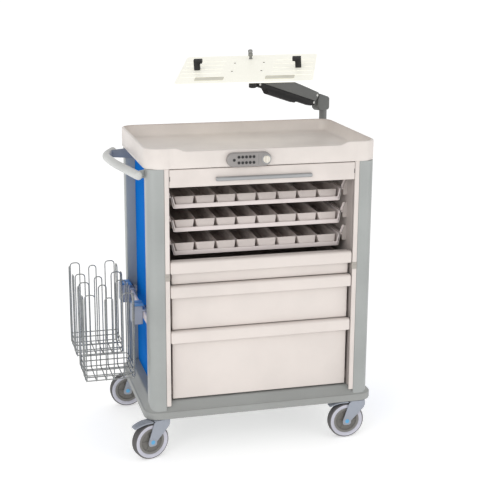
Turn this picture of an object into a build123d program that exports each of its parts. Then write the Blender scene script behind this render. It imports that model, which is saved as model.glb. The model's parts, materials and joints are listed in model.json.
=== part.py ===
import os
from math import atan2, cos, degrees, hypot, radians, sin, tan

from build123d import *

os.makedirs("parts", exist_ok=True)

# Frame: +X to the right seen from the front, +Y to the back, +Z up, millimetres.
# The origin is the middle of the cabinet's footprint, on the floor.

# Cabinet
cabinet_width = 760.0
cabinet_depth = 505.0
cabinet_height = 787.0
wheel_headroom = 9.5
base_skirt_height = 25.5
base_slope_height = 30.0
base_slope_inset = 25.0
base_side_margin = 18.0
base_front_margin = 5.0
base_corner_radius = 45.0
base_roof = 12.0
base_pocket_side = 80.0
base_pocket_end = 62.5
gap = 0.3

# Posts and panels
post_width = 54.0
post_depth = 60.0
post_wall = 3.0
post_corner_radius = 28.0
post_socket_depth = 38.0
side_panel_recess = 35.0
panel_thickness = 4.0
back_panel_recess = 14.0
strip_width = 15.0
liner_thickness = 3.0
strip_thickness = 8.0
groove_depth = 8.0
strip_sink = 12.0
strip_stop_rise = 421.0
strip_stop_height = 23.0
strip_stop_recess = 1.5

# Worktop
worktop_side_overhang = 6.5
worktop_end_overhang = 2.5
worktop_height = 66.0
worktop_corner_radius = 50.0
worktop_rim = 8.0
worktop_floor = 26.0
worktop_dish_draft = 12.0
worktop_notch_drop = 11.0
worktop_notch_top = 580.0
worktop_notch_bottom = 510.0
worktop_face_margin = 3.0
worktop_face_recess = 2.0
worktop_under_pocket = 19.0

# Drawers, from the top: lowest and highest edge of each front above the base
drawer_rises = {"top": (402.5, 482.0), "middle": (247.5, 400.0), "bottom": (6.0, 245.0)}
drawer_side_reveal = 9.0
drawer_front_thickness = 18.0
drawer_front_recess = 20.5
lip_side_play = 2.0
lip_height = 40.0
lip_reach = 18.0
lip_skin = 7.0
drawer_box_side_room = 23.0
drawer_back_room = 34.5
drawer_box_wall = 2.0
drawer_box_drop = 22.0
drawer_box_lift = 9.0
drawer_rail_height = 30.0
drawer_rail_width = 11.0
rail_play = 0.8

# Bin trays, from the top: underside of each tray above the base
tray_rises = {"upper": 643.0, "centre": 565.0, "lower": 487.0}
tray_side_room = 28.0
tray_front_recess = 72.5
tray_back_room = 64.5
tray_sheet = 2.0
tray_front_height = 14.0
tray_side_height = 40.0
tray_flange = 14.0
ledge_overlap = 9.0
lug_height = 32.0
lug_shoulder = 12.0
lug_tip = 3.0
bins_per_tray = 8
bin_end_play = 1.0
bin_spacing = 4.0
bin_height = 46.0
bin_wall = 2.0
bin_front_slope = 14.0
bin_play = 2.0

# Shutter
shutter_side_play = 1.0
shutter_bar_drop = 60.0
shutter_top_gap = 2.5
shutter_thickness = 9.0
shutter_tongue = 11.0
shutter_tongue_height = 40.0
pull_length = 320.0
pull_height = 13.0
pull_reach = 12.0
pull_drop = 37.0
slat_count = 15
slat_pitch = 18.0
slat_thickness = 6.0
slat_web = 1.2
slat_gap = 3.0
curtain_clearance = 2.0
curtain_side_play = 2.0
curtain_drop = 16.0

# Keypad lock
lock_centre_x = -54.0
lock_rise = 24.0
lock_length = 146.0
lock_height = 46.0
lock_depth = 18.0
lock_end_radius = 22.0
lock_edge_radius = 3.0
key_radius = 4.8
key_travel_room = 2.5
key_proud = 2.0
key_length = 8.0
key_columns = 5
key_pitch = 12.3
key_row_pitch = 18.5
key_block_x = -64.0
single_key_x = -104.0
knob_x = 2.0
knob_radius = 12.0
knob_height = 14.0
knob_seat = 2.0
knob_grip_length = 23.0
knob_grip_width = 8.4

# Push handle, a bowed tube on the left
handle_radius = 14.0
handle_drop = 22.0
handle_reaches = [21.0, 66.0, 76.0, 32.0]
handle_front_inset = 24.5
handle_rear_inset = 6.5
handle_bow = (10.0, 150.0)
handle_bends = [900.0, 190.0]
handle_rear_hold = 59.0
bracket_thickness = 8.0
bracket_height = 38.0
bracket_nose = 20.0
bracket_nose_drop = 6.0

# Side rail and wire racks
rail_height = 26.0
rail_thickness = 10.0
rail_rise = 270.0
rail_face_inset = 2.0
rack_centres = {"rear": 160.0, "front": -95.0}
rack_reach = 203.0
rack_width = 167.0
rack_depth = 150.0
rack_rise = 66.0
rack_height = 301.0
rack_middle_drop = 13.0
rack_side_drop = 8.0
hairpin_inset = 5.0
hairpin_end = 38.0
hairpin_half = 13.0
ring_rises = [22.0, 40.0]
wire_radius = 2.0
wire_bend = 11.0
wire_overlap = 1.0
hook_width = 56.0
hook_height = 64.0
hook_jaw = 6.0

# Casters
caster_side_inset = 34.0
caster_front_inset = 17.5
caster_rear_inset = 23.5
caster_trail = 38.6
caster_turns = {"front_left": 196.0, "front_right": 180.0, "rear_left": 180.0, "rear_right": 180.0}
wheel_radius = 62.5
tyre_width = 30.0
tyre_shoulder = 5.0
hub_radius = 45.0
hub_width = 25.0
hub_recess_radius = 36.0
hub_recess = 3.0
axle_radius = 6.0
fork_inside = 34.0
fork_plate = 4.0
fork_leg_radius = 15.0
fork_back = 26.0
fork_front_top = 24.0
fork_front = 30.0
fork_shoulder_drop = 14.0
crown_thickness = 7.0
stem_radius = 11.0
stem_length = 16.0
axle_cap_size = 20.0
axle_cap_height = 3.0
pedal_width = 40.0
pedal_length = 66.0
pedal_thickness = 4.0
pedal_hinge_ahead = 34.0
pedal_flat = 30.0
pedal_drop = 12.0
pedal_headroom = 1.5

# Support arm for the laptop tray
mast_side_inset = 6.0
mast_behind = 27.5
mast_radius = 14.0
mast_rise = 660.0
arm_azimuth = 211.5
mast_bracket_width = 44.0
mast_bracket_ear = 22.0
mast_plate_thickness = 6.0
mast_plate_height = 118.0
elbow_rise = 882.0
upper_pivot_place = (54.0, 59.0)
lower_pivot_place = (67.0, 33.3)
arm_reach = (288.0, 89.0)
pin_radius = 4.0
ear_thickness = 14.0
link_inside = 17.0
link_outside = 25.0
cover_inside = 29.0
cover_outside = 34.0
head_swivel_ahead = 38.0
head_boss_radius = 13.0
head_rise = 141.0
mast_foot = 6.0
mast_plate_overlap = 8.0
collar_radius = 20.0
collar_height = 8.0

# Outlines of the arm's pieces, (along, up). The elbow and its ear are measured from the mast's axis and the
# elbow's underside. The cover and its hollow are measured from the upper pivot, and the link from the lower
# pivot, along the line to the far pivot. The last points of the cover and link lie past that far pivot.
elbow_outline = [(-18, 6), (-12, 0), (34, 0), (46, 10), (46, 40), (40, 56), (36, 63), (-12, 48), (-18, 42)]
ear_outline = [(30, 14), (64, 24), (75, 31), (75, 37), (62, 62), (54, 66), (38, 50), (30, 50)]
cover_outline = [(-6, -9), (-10, 3), (-5, 11), (60, 15), (157, 18.5), (250, 17), (307, 12), (313, 3),
                 (311, -9), (290, -22), (4, -22)]
cover_hollow = [(-40, -40), (-40, 7.5), (-5, 7.5), (60, 11.5), (157, 15), (250, 13.5), (300, 10), (340, 9),
                (340, -40)]
link_outline = [(-9, 0), (-6, 8), (307, 8), (310, 0), (305, -9), (266, -9), (248, -23), (104, -23), (92, -15),
                (14, -15), (-6, -9)]
head_upper_outline = [(-7, -3), (-3, 6), (3, 7), (14, -8)]
head_lower_outline = [(-4, -8), (-8, 0)]
link_fork_length = 76.0
link_fork_inset = 10.0
head_neck = 9.0
head_underside = 11.0
head_shoulder = 4.0

# Laptop tray
laptop_tray_width = 460.0
laptop_tray_depth = 325.0
laptop_tray_thickness = 4.0
laptop_tray_corner = 12.0
laptop_tray_turn = -20.4
laptop_tray_tilt = 10.2
laptop_tray_roll = 2.6
laptop_tray_ahead = -23.0
laptop_tray_side = -14.0
tilt_axis_rise = 23.0
tilt_ear_radius = 9.0
tray_above_axis = 22.0
tilt_bracket_half = 15.0
tilt_ear_gap = 0.5
tilt_ear_thickness = 6.0
tray_boss_height = 6.0
mount_plate_thickness = 3.0
mount_plate_corner = 8.0
mount_plate_size = 120.0
hole_pattern = 100.0
hole_pattern_ahead = 16.0
hole_radius = 2.6
slot_length = 138.0
slot_height = 5.0
slot_pitch = 46.0
slots_per_side = 5
slot_inset = 7.0
clip_inset_x = 57.0
clip_depth = 20.0
clip_height = 36.0
clip_width = 20.0
clip_arm_height = 13.0
clip_overhang = 9.0
stud_radius = 8.0
stud_height = 33.0
stud_inset = 47.0

# Places that follow from the sizes above
half_width = cabinet_width / 2
half_depth = cabinet_depth / 2
cabinet_front = -half_depth
base_bottom = 2 * wheel_radius + wheel_headroom
base_top = base_bottom + base_skirt_height + base_slope_height
base_pocket_width = cabinet_width - 2 * base_pocket_side
base_pocket_depth = cabinet_depth - 2 * base_pocket_end
worktop_bottom = base_top + cabinet_height
worktop_width = cabinet_width + 2 * worktop_side_overhang
worktop_depth = cabinet_depth + 2 * worktop_end_overhang
strip_foot = base_top - strip_sink
strip_stop_bottom = base_top + strip_stop_rise
strip_stop_top = strip_stop_bottom + strip_stop_height
liner_inside = cabinet_width - 2 * (post_width + strip_width)
back_room = back_panel_recess + panel_thickness
drawer_fronts = {level: (base_top + low, base_top + high) for level, (low, high) in drawer_rises.items()}
drawer_front_width = liner_inside - 2 * drawer_side_reveal
lip_width = liner_inside - 2 * lip_side_play
drawer_box_width = liner_inside - 2 * drawer_box_side_room
drawer_box_depth = cabinet_depth - drawer_front_recess - drawer_front_thickness - back_room - drawer_back_room
tray_bottoms = {level: base_top + rise for level, rise in tray_rises.items()}
tray_width = liner_inside - 2 * tray_side_room
tray_front = half_depth - tray_front_recess
tray_length = cabinet_depth - tray_front_recess - back_room - tray_back_room
bin_pitch = (tray_width - 2 * (tray_sheet + bin_end_play)) / bins_per_tray
bin_width = bin_pitch - bin_spacing
shutter_width = liner_inside - 2 * shutter_side_play
shutter_bottom = worktop_bottom - shutter_bar_drop
worktop_face_width = shutter_width + 2 * worktop_face_margin
pull_centre_z = worktop_bottom - pull_drop
curtain_width = shutter_width - 2 * curtain_side_play
curtain_bottom = worktop_bottom - curtain_drop
lock_centre_z = worktop_bottom + lock_rise
handle_z = worktop_bottom - handle_drop
handle_stops = (handle_front_inset - half_depth, *handle_bow, half_depth - handle_rear_inset)
handle_route = [(-half_width - reach, stop) for reach, stop in zip(handle_reaches, handle_stops)]
handle_rear_hold_x = -half_width - handle_rear_hold
rail_z = base_top + rail_rise
rail_face_x = rail_face_inset - half_width
rack_outer_x = -half_width - rack_reach
rack_bottom = base_top + rack_rise
rack_top = rack_bottom + rack_height
caster_x = half_width - caster_side_inset
caster_front_y = caster_front_inset - half_depth
caster_rear_y = half_depth - caster_rear_inset
mast_x = half_width - mast_side_inset
mast_y = half_depth + mast_behind
mast_bottom = base_top + mast_rise
elbow_bottom = base_top + elbow_rise
upper_pivot = (upper_pivot_place[0], elbow_bottom + upper_pivot_place[1])
lower_pivot = (lower_pivot_place[0], elbow_bottom + lower_pivot_place[1])
head_top = elbow_bottom + head_rise
tilt_axis_z = head_top + tilt_axis_rise
post_foot = base_top - post_socket_depth
post_inner_x = half_width - post_width
post_inner_y = half_depth - post_depth
liner_x = liner_inside / 2
groove_front = cabinet_front + strip_thickness
liner_front = groove_front + groove_depth
back_panel_y = half_depth - back_panel_recess - panel_thickness
drawer_front_y = cabinet_front + drawer_front_recess
drawer_box_front = drawer_front_y + drawer_front_thickness


def save(piece, name):
    piece.part.label = name
    export_step(piece.part, f"parts/{name}.step")


def box_sketch(x_low, x_high, y_low, y_high):
    with Locations(((x_low + x_high) / 2, (y_low + y_high) / 2)):
        Rectangle(x_high - x_low, y_high - y_low)


def block(x_span, y_span, z_span, mode=Mode.ADD):
    # A plain box between two corners, added to or cut from the part being built.
    spans = (x_span, y_span, z_span)
    with Locations(tuple(sum(span) / 2 for span in spans)):
        Box(*(max(span) - min(span) for span in spans), mode=mode)


# ---- Cabinet ----

corner_signs = {
    "front_left": (-1, -1),
    "front_right": (1, -1),
    "rear_left": (-1, 1),
    "rear_right": (1, 1),
}


def post_outline(sign_x, sign_y, grow):
    with Locations((sign_x * (half_width - post_width / 2), sign_y * (half_depth - post_depth / 2))):
        Rectangle(post_width + 2 * grow, post_depth + 2 * grow)


def caster_place(corner):
    sign_x = corner_signs[corner][0]
    y = caster_front_y if corner_signs[corner][1] < 0 else caster_rear_y
    return sign_x * caster_x, y


with BuildPart() as base_moulding:
    with BuildSketch(Plane.XY.offset(base_bottom)):
        RectangleRounded(cabinet_width + 2 * base_side_margin, cabinet_depth + 2 * base_front_margin,
                         base_corner_radius)
    extrude(amount=base_skirt_height)
    base_taper = degrees(atan2(base_slope_inset, base_slope_height))
    extrude(faces().sort_by(Axis.Z)[-1], amount=base_slope_height, taper=base_taper)
    with BuildSketch(Plane.XY.offset(base_bottom)):
        RectangleRounded(base_pocket_width, base_pocket_depth, base_corner_radius)
    extrude(amount=base_top - base_bottom - base_roof, mode=Mode.SUBTRACT)
    with BuildSketch(Plane.XY.offset(post_foot)):
        for sign_x, sign_y in corner_signs.values():
            post_outline(sign_x, sign_y, gap)
    extrude(amount=post_socket_depth + gap, mode=Mode.SUBTRACT)
    with BuildSketch(Plane.XY.offset(base_bottom)):
        for corner in corner_signs:
            with Locations(caster_place(corner)):
                Circle(stem_radius + gap)
    extrude(amount=stem_length + gap, mode=Mode.SUBTRACT)
save(base_moulding, "base_moulding")

for corner, (sign_x, sign_y) in corner_signs.items():
    with BuildPart() as post:
        with BuildSketch(Plane.XY.offset(post_foot)):
            post_outline(sign_x, sign_y, 0)
            outer_corner = vertices().sort_by(lambda v: sign_x * v.X + sign_y * v.Y)[-1]
            fillet(outer_corner, post_corner_radius)
            offset(amount=-post_wall, mode=Mode.SUBTRACT)
        extrude(amount=worktop_bottom - post_foot)
    save(post, f"{corner}_post")

for side, sign in {"left": -1, "right": 1}.items():
    outer_x = sign * (half_width - side_panel_recess)
    inner_x = outer_x - sign * panel_thickness
    with BuildPart() as side_panel:
        block(sorted((outer_x, inner_x)), (-post_inner_y, post_inner_y), (base_top, worktop_bottom))
    save(side_panel, f"{side}_side_panel")

with BuildPart() as back_panel:
    block((-post_inner_x, post_inner_x), (back_panel_y, back_panel_y + panel_thickness),
          (base_top, worktop_bottom))
save(back_panel, "back_panel")

with BuildPart() as inner_liners:
    for sign in (-1, 1):
        block(sorted((sign * liner_x, sign * (liner_x + liner_thickness))),
              (liner_front, back_panel_y), (base_top, worktop_bottom))
save(inner_liners, "inner_liners")

with BuildPart() as guide_strips:
    for sign in (-1, 1):
        strip_x = sorted((sign * liner_x, sign * post_inner_x))
        block(strip_x, (cabinet_front, groove_front), (strip_foot, strip_stop_bottom - gap))
        block(strip_x, (cabinet_front + strip_stop_recess, liner_front),
              (strip_stop_bottom, strip_stop_top))
        block(strip_x, (cabinet_front, groove_front), (strip_stop_top + gap, worktop_bottom))
save(guide_strips, "guide_strips")

# ---- Worktop ----

with BuildPart() as worktop:
    with BuildSketch(Plane.XY.offset(worktop_bottom)):
        RectangleRounded(worktop_width, worktop_depth, worktop_corner_radius)
    extrude(amount=worktop_height)
    dish_depth = worktop_height - worktop_floor
    dish_inset = worktop_rim + dish_depth * tan(radians(worktop_dish_draft))
    with BuildSketch(Plane.XY.offset(worktop_bottom + worktop_floor)):
        RectangleRounded(worktop_width - 2 * dish_inset, worktop_depth - 2 * dish_inset,
                         worktop_corner_radius - dish_inset)
    extrude(amount=dish_depth, taper=-worktop_dish_draft, mode=Mode.SUBTRACT)
    notch_top_z = worktop_bottom + worktop_height
    with BuildSketch(Plane.XZ.offset(worktop_depth / 2)):
        with BuildLine():
            Polyline((-worktop_notch_top / 2, notch_top_z), (worktop_notch_top / 2, notch_top_z),
                     (worktop_notch_bottom / 2, notch_top_z - worktop_notch_drop),
                     (-worktop_notch_bottom / 2, notch_top_z - worktop_notch_drop), close=True)
        make_face()
    extrude(amount=-worktop_corner_radius, mode=Mode.SUBTRACT)
    block((-worktop_face_width / 2, worktop_face_width / 2),
          (-worktop_depth / 2, -worktop_depth / 2 + worktop_face_recess),
          (worktop_bottom, notch_top_z), mode=Mode.SUBTRACT)
    with BuildSketch(Plane.XY.offset(worktop_bottom)):
        Rectangle(2 * liner_x - 2 * worktop_rim, cabinet_depth - 2 * post_depth)
    extrude(amount=worktop_under_pocket, mode=Mode.SUBTRACT)
save(worktop, "worktop")
worktop_face_y = -worktop_depth / 2 + worktop_face_recess

# ---- Drawers ----

for level, (low, high) in drawer_fronts.items():
    with BuildPart() as drawer_front:
        block((-drawer_front_width / 2, drawer_front_width / 2),
              (drawer_front_y, drawer_front_y + drawer_front_thickness), (low, high))
        lip_face = drawer_front_y - lip_reach
        with BuildSketch(Plane.YZ):
            with BuildLine():
                Polyline((drawer_front_y, high), (lip_face, high), (lip_face, high - lip_height),
                         (lip_face + lip_skin, high - lip_height),
                         (lip_face + lip_skin, high - lip_height / 2),
                         (drawer_front_y, high - lip_height / 3), close=True)
            make_face()
            front_corners = vertices().group_by(Axis.X)[0].sort_by(Axis.Y)
            fillet(front_corners[-1], lip_reach / 2)
        extrude(amount=lip_width / 2, both=True)
    save(drawer_front, f"{level}_drawer_front")
    with BuildPart() as drawer_box:
        box_low = low + drawer_box_lift
        box_high = high - drawer_box_drop
        half = drawer_box_width / 2
        block((-half, half), (drawer_box_front, drawer_box_front + drawer_box_depth), (box_low, box_high))
        block((-half + drawer_box_wall, half - drawer_box_wall),
              (drawer_box_front + drawer_box_wall, drawer_box_front + drawer_box_depth - drawer_box_wall),
              (box_low + drawer_box_wall, box_high), mode=Mode.SUBTRACT)
        for sign in (-1, 1):
            block(sorted((sign * half, sign * (half + drawer_rail_width))),
                  (drawer_box_front + drawer_box_wall, drawer_box_front + drawer_box_depth - drawer_box_wall),
                  (box_low + drawer_box_wall, box_low + drawer_box_wall + drawer_rail_height))
    save(drawer_box, f"{level}_drawer_box")

# ---- Bin trays ----

tray_half = tray_width / 2
tray_y = (-tray_front, -tray_front + tray_length)

for level, low in tray_bottoms.items():
    with BuildPart() as tray:
        block((-tray_half, tray_half), tray_y, (low, low + tray_side_height))
        block((-tray_half + tray_sheet, tray_half - tray_sheet),
              (tray_y[0] + tray_sheet, tray_y[1] - tray_sheet),
              (low + tray_sheet, low + tray_side_height), mode=Mode.SUBTRACT)
        block((-tray_half + tray_sheet, tray_half - tray_sheet), (tray_y[0], tray_y[0] + tray_sheet),
              (low + tray_front_height, low + tray_side_height), mode=Mode.SUBTRACT)
        for sign in (-1, 1):
            block(sorted((sign * tray_half, sign * (tray_half + tray_flange))), tray_y,
                  (low + tray_side_height - tray_sheet, low + tray_side_height))
    save(tray, f"{level}_bin_tray")
    bin_low = low + tray_sheet + gap
    bin_high = bin_low + bin_height
    bin_front = tray_y[0] + tray_sheet + bin_play
    bin_back = tray_y[1] - tray_sheet - bin_play
    with BuildPart() as bins:
        for index in range(bins_per_tray):
            bin_x = (index - (bins_per_tray - 1) / 2) * bin_pitch
            with BuildSketch(Plane.YZ.offset(bin_x - bin_width / 2)):
                with BuildLine():
                    Polyline((bin_front, bin_low), (bin_front + bin_front_slope, bin_high),
                             (bin_back, bin_high), (bin_back, bin_low), close=True)
                make_face()
            extrude(amount=bin_width)
            slope = bin_front_slope / bin_height
            with BuildSketch(Plane.YZ.offset(bin_x - bin_width / 2 + bin_wall)):
                with BuildLine():
                    Polyline((bin_front + bin_wall * (1 + slope), bin_low + bin_wall),
                             (bin_front + bin_wall + bin_front_slope, bin_high),
                             (bin_back - bin_wall, bin_high),
                             (bin_back - bin_wall, bin_low + bin_wall), close=True)
                make_face()
            extrude(amount=bin_width - 2 * bin_wall, mode=Mode.SUBTRACT)
    save(bins, f"{level}_tray_bins")

# Fixed rails on the liners: one pair for each drawer and one pair for each bin tray.
with BuildPart() as slide_rails:
    for low, high in drawer_fronts.values():
        rail_low = low + drawer_box_lift + drawer_box_wall
        for sign in (-1, 1):
            inner = drawer_box_width / 2 + drawer_rail_width + rail_play
            block(sorted((sign * inner, sign * liner_x)),
                  (drawer_box_front + drawer_box_wall, drawer_box_front + drawer_box_depth),
                  (rail_low, rail_low + drawer_rail_height))
    for low in tray_bottoms.values():
        ledge_top = low + tray_side_height - tray_sheet - gap
        for sign in (-1, 1):
            ledge_inner = tray_half + tray_flange - ledge_overlap
            web_inner = tray_half + tray_flange + rail_play
            block(sorted((sign * ledge_inner, sign * liner_x)), tray_y,
                  (ledge_top - tray_sheet, ledge_top))
            block(sorted((sign * web_inner, sign * liner_x)), tray_y,
                  (ledge_top - tray_side_height / 2, ledge_top + tray_sheet * 2))
            with BuildSketch(Plane.XZ.offset(-tray_y[0])):
                with BuildLine():
                    Polyline((sign * web_inner, ledge_top), (sign * liner_x, ledge_top),
                             (sign * liner_x, ledge_top + lug_height),
                             (sign * (liner_x - lug_tip), ledge_top + lug_height),
                             (sign * web_inner, ledge_top + lug_shoulder), close=True)
                make_face()
            extrude(amount=-tray_sheet * 2)
save(slide_rails, "slide_rails")

# ---- Shutter ----

shutter_top = worktop_bottom - shutter_top_gap
shutter_y = (cabinet_front + 0.5, cabinet_front + 0.5 + shutter_thickness)
tongue_y = (groove_front + rail_play, liner_front - rail_play)
shutter_middle_z = (shutter_bottom + shutter_top) / 2

with BuildPart() as shutter_bar:
    block((-shutter_width / 2, shutter_width / 2), shutter_y, (shutter_bottom, shutter_top))
    for sign in (-1, 1):
        tongue_x = sorted(sign * (shutter_width / 2 + side * shutter_tongue) for side in (-1, 1))
        block(tongue_x, tongue_y, (shutter_middle_z - shutter_tongue_height / 2,
                                   shutter_middle_z + shutter_tongue_height / 2))
save(shutter_bar, "shutter_bar")

with BuildPart() as shutter_handle:
    with BuildSketch(Plane.XZ.offset(-shutter_y[0])):
        with Locations((0, pull_centre_z)):
            SlotOverall(pull_length, pull_height)
    extrude(amount=pull_reach)
    pull_rim = edges().group_by(Axis.Y)[0]
    fillet(pull_rim, pull_height / 4)
save(shutter_handle, "shutter_handle")

with BuildPart() as shutter_curtain:
    curtain_front = liner_front + curtain_clearance
    curtain_length = (slat_count - 1) * slat_pitch
    curtain_middle = curtain_front + slat_pitch / 2 + curtain_length / 2
    with BuildSketch(Plane.XY.offset(curtain_bottom)):
        with Locations((0, curtain_middle)):
            with GridLocations(1, slat_pitch, 1, slat_count):
                Rectangle(curtain_width, slat_pitch - slat_gap)
    extrude(amount=slat_thickness)
    block((-curtain_width / 2, curtain_width / 2),
          (curtain_middle - curtain_length / 2, curtain_middle + curtain_length / 2),
          (curtain_bottom + slat_thickness - slat_web, curtain_bottom + slat_thickness))
save(shutter_curtain, "shutter_curtain")

# ---- Keypad lock ----

lock_face_y = worktop_face_y - lock_depth
key_points = [(single_key_x, lock_centre_z)]
for row in (-0.5, 0.5):
    for column in range(key_columns):
        key_x = key_block_x + (column - (key_columns - 1) / 2) * key_pitch
        key_points.append((key_x, lock_centre_z + row * key_row_pitch))

with BuildPart() as lock_housing:
    with BuildSketch(Plane.XZ.offset(-worktop_face_y)):
        with Locations((lock_centre_x, lock_centre_z)):
            RectangleRounded(lock_length, lock_height, lock_end_radius)
    extrude(amount=lock_depth)
    fillet(edges().group_by(Axis.Y)[0], lock_edge_radius)
    with BuildSketch(Plane.XZ.offset(-lock_face_y)):
        with Locations(*key_points):
            Circle(key_radius + gap)
    extrude(amount=-(key_length - key_proud + key_travel_room), mode=Mode.SUBTRACT)
    with BuildSketch(Plane.XZ.offset(-lock_face_y)):
        with Locations((knob_x, lock_centre_z)):
            Circle(knob_radius + gap)
    extrude(amount=-knob_seat, mode=Mode.SUBTRACT)
save(lock_housing, "lock_housing")

with BuildPart() as lock_keys:
    with BuildSketch(Plane.XZ.offset(-lock_face_y + key_proud)):
        with Locations(*key_points):
            Circle(key_radius)
    extrude(amount=-key_length)
save(lock_keys, "lock_keys")

with BuildPart() as lock_knob:
    with BuildSketch(Plane.XZ.offset(-lock_face_y - knob_seat + gap)):
        with Locations((knob_x, lock_centre_z)):
            Circle(knob_radius)
    extrude(amount=knob_height / 2)
    with BuildSketch(Plane.XZ.offset(-lock_face_y - knob_seat + gap + knob_height / 2)):
        with Locations((knob_x, lock_centre_z)):
            SlotOverall(knob_grip_length, knob_grip_width, rotation=90)
    extrude(amount=knob_height / 2)
save(lock_knob, "lock_knob")

# ---- Push handle ----

with BuildPart() as handle_tube:
    with BuildLine() as handle_path:
        FilletPolyline(*[(x, y, handle_z) for x, y in handle_route], radius=handle_bends)
    with BuildSketch(handle_path.line ^ 0):
        Circle(handle_radius)
    sweep()
    fillet(edges().filter_by(GeomType.CIRCLE).sort_by(Axis.Y)[0], handle_radius / 2)
    fillet(edges().filter_by(GeomType.CIRCLE).sort_by(Axis.Y)[-1], handle_radius / 2)
save(handle_tube, "handle_tube")

panel_face_x = -(half_width - side_panel_recess)
with BuildPart() as handle_brackets:
    bracket_z = (handle_z - bracket_height / 2, handle_z + bracket_height / 2)
    front_tube_x = handle_route[0][0] - handle_radius / 2
    rear_tube_x = handle_rear_hold_x
    block((front_tube_x, panel_face_x), (-post_inner_y, -post_inner_y + bracket_thickness), bracket_z)
    with BuildSketch(Plane.XZ.offset(-post_inner_y + bracket_thickness)):
        with BuildLine():
            Polyline((panel_face_x, bracket_z[0]), (panel_face_x, bracket_z[1]),
                     (rear_tube_x + bracket_nose, bracket_z[1] - bracket_nose_drop), (rear_tube_x, handle_z),
                     (rear_tube_x + bracket_nose, bracket_z[0] + bracket_nose_drop), close=True)
        make_face()
    extrude(amount=-bracket_thickness)
    add(handle_tube.part, mode=Mode.SUBTRACT)
save(handle_brackets, "handle_brackets")

# ---- Side rail and wire racks ----

rail_back_x = rail_face_x + rail_thickness
with BuildPart() as side_rail:
    block((rail_face_x, rail_back_x), (-post_inner_y, post_inner_y),
          (rail_z - rail_height / 2, rail_z + rail_height / 2))
save(side_rail, "side_rail")

rack_inner_x = rack_outer_x + rack_width


def hairpin_along_y(first_x, second_x, y_span, low, high):
    # A wire down one wall, over the floor and up the far wall, twice, joined at both tops.
    side = [(y_span[0], high), (y_span[0], low), (y_span[1], low), (y_span[1], high)]
    return [(first_x, y, z) for y, z in side] + [(second_x, y, z) for y, z in reversed(side)]


def hairpin_along_x(first_y, second_y, x_span, low, high):
    side = [(x_span[0], high), (x_span[0], low), (x_span[1], low), (x_span[1], high)]
    return [(x, first_y, z) for x, z in side] + [(x, second_y, z) for x, z in reversed(side)]


for place, centre_y in rack_centres.items():
    x_span = (rack_outer_x, rack_inner_x)
    y_span = (centre_y - rack_depth / 2, centre_y + rack_depth / 2)
    middle_x = (rack_outer_x + rack_inner_x) / 2
    side_top = rack_top - rack_side_drop
    cross_low = rack_bottom + 2 * wire_radius - wire_overlap
    ring_inset = 2 * wire_radius - wire_overlap
    wires = [
        hairpin_along_y(x_span[0] + hairpin_inset, x_span[0] + hairpin_end, y_span, rack_bottom, rack_top),
        hairpin_along_y(middle_x - hairpin_half, middle_x + hairpin_half, y_span, rack_bottom,
                        rack_top - rack_middle_drop),
        hairpin_along_y(x_span[1] - hairpin_end, x_span[1] - hairpin_inset, y_span, rack_bottom, rack_top),
        hairpin_along_x(y_span[0] + hairpin_inset, y_span[0] + hairpin_end, x_span, cross_low, side_top),
        hairpin_along_x(y_span[1] - hairpin_end, y_span[1] - hairpin_inset, x_span, cross_low, side_top),
    ]
    for ring_rise in ring_rises:
        wires.append([(x_span[0] + ring_inset, y_span[0] + ring_inset, rack_bottom + ring_rise),
                      (x_span[1] - ring_inset, y_span[0] + ring_inset, rack_bottom + ring_rise),
                      (x_span[1] - ring_inset, y_span[1] - ring_inset, rack_bottom + ring_rise),
                      (x_span[0] + ring_inset, y_span[1] - ring_inset, rack_bottom + ring_rise)])
    with BuildPart() as rack:
        for points in wires:
            with BuildLine() as route:
                FilletPolyline(*points, radius=wire_bend, close=True)
            with BuildSketch(Plane(origin=route.line @ 0.001, z_dir=route.line % 0.001)):
                Circle(wire_radius)
            sweep(path=route.line)
    save(rack, f"{place}_rack")
    with BuildPart() as rack_hook:
        hook_y = (centre_y - hook_width / 2, centre_y + hook_width / 2)
        rail_top = rail_z + rail_height / 2
        block((rack_inner_x + wire_radius + gap, rail_face_x - gap), hook_y,
              (rail_z - hook_height / 2, rail_z + hook_height / 2))
        block((rail_face_x - gap - hook_jaw, rail_back_x + gap + hook_jaw), hook_y,
              (rail_top + gap, rail_top + gap + hook_jaw))
        block((rail_back_x + gap, rail_back_x + gap + hook_jaw), hook_y,
              (rail_top - hook_jaw, rail_top + gap + hook_jaw))
    save(rack_hook, f"{place}_rack_hook")

# ---- Casters ----


def upright_plane(x, y, azimuth, shift=0.0):
    # A vertical plane: its X runs along the azimuth, its Y is up, and it is moved sideways by shift.
    angle = radians(azimuth)
    normal = (sin(angle), -cos(angle), 0)
    return Plane(origin=(x, y, 0), x_dir=(cos(angle), sin(angle), 0), z_dir=normal).offset(shift)


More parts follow.
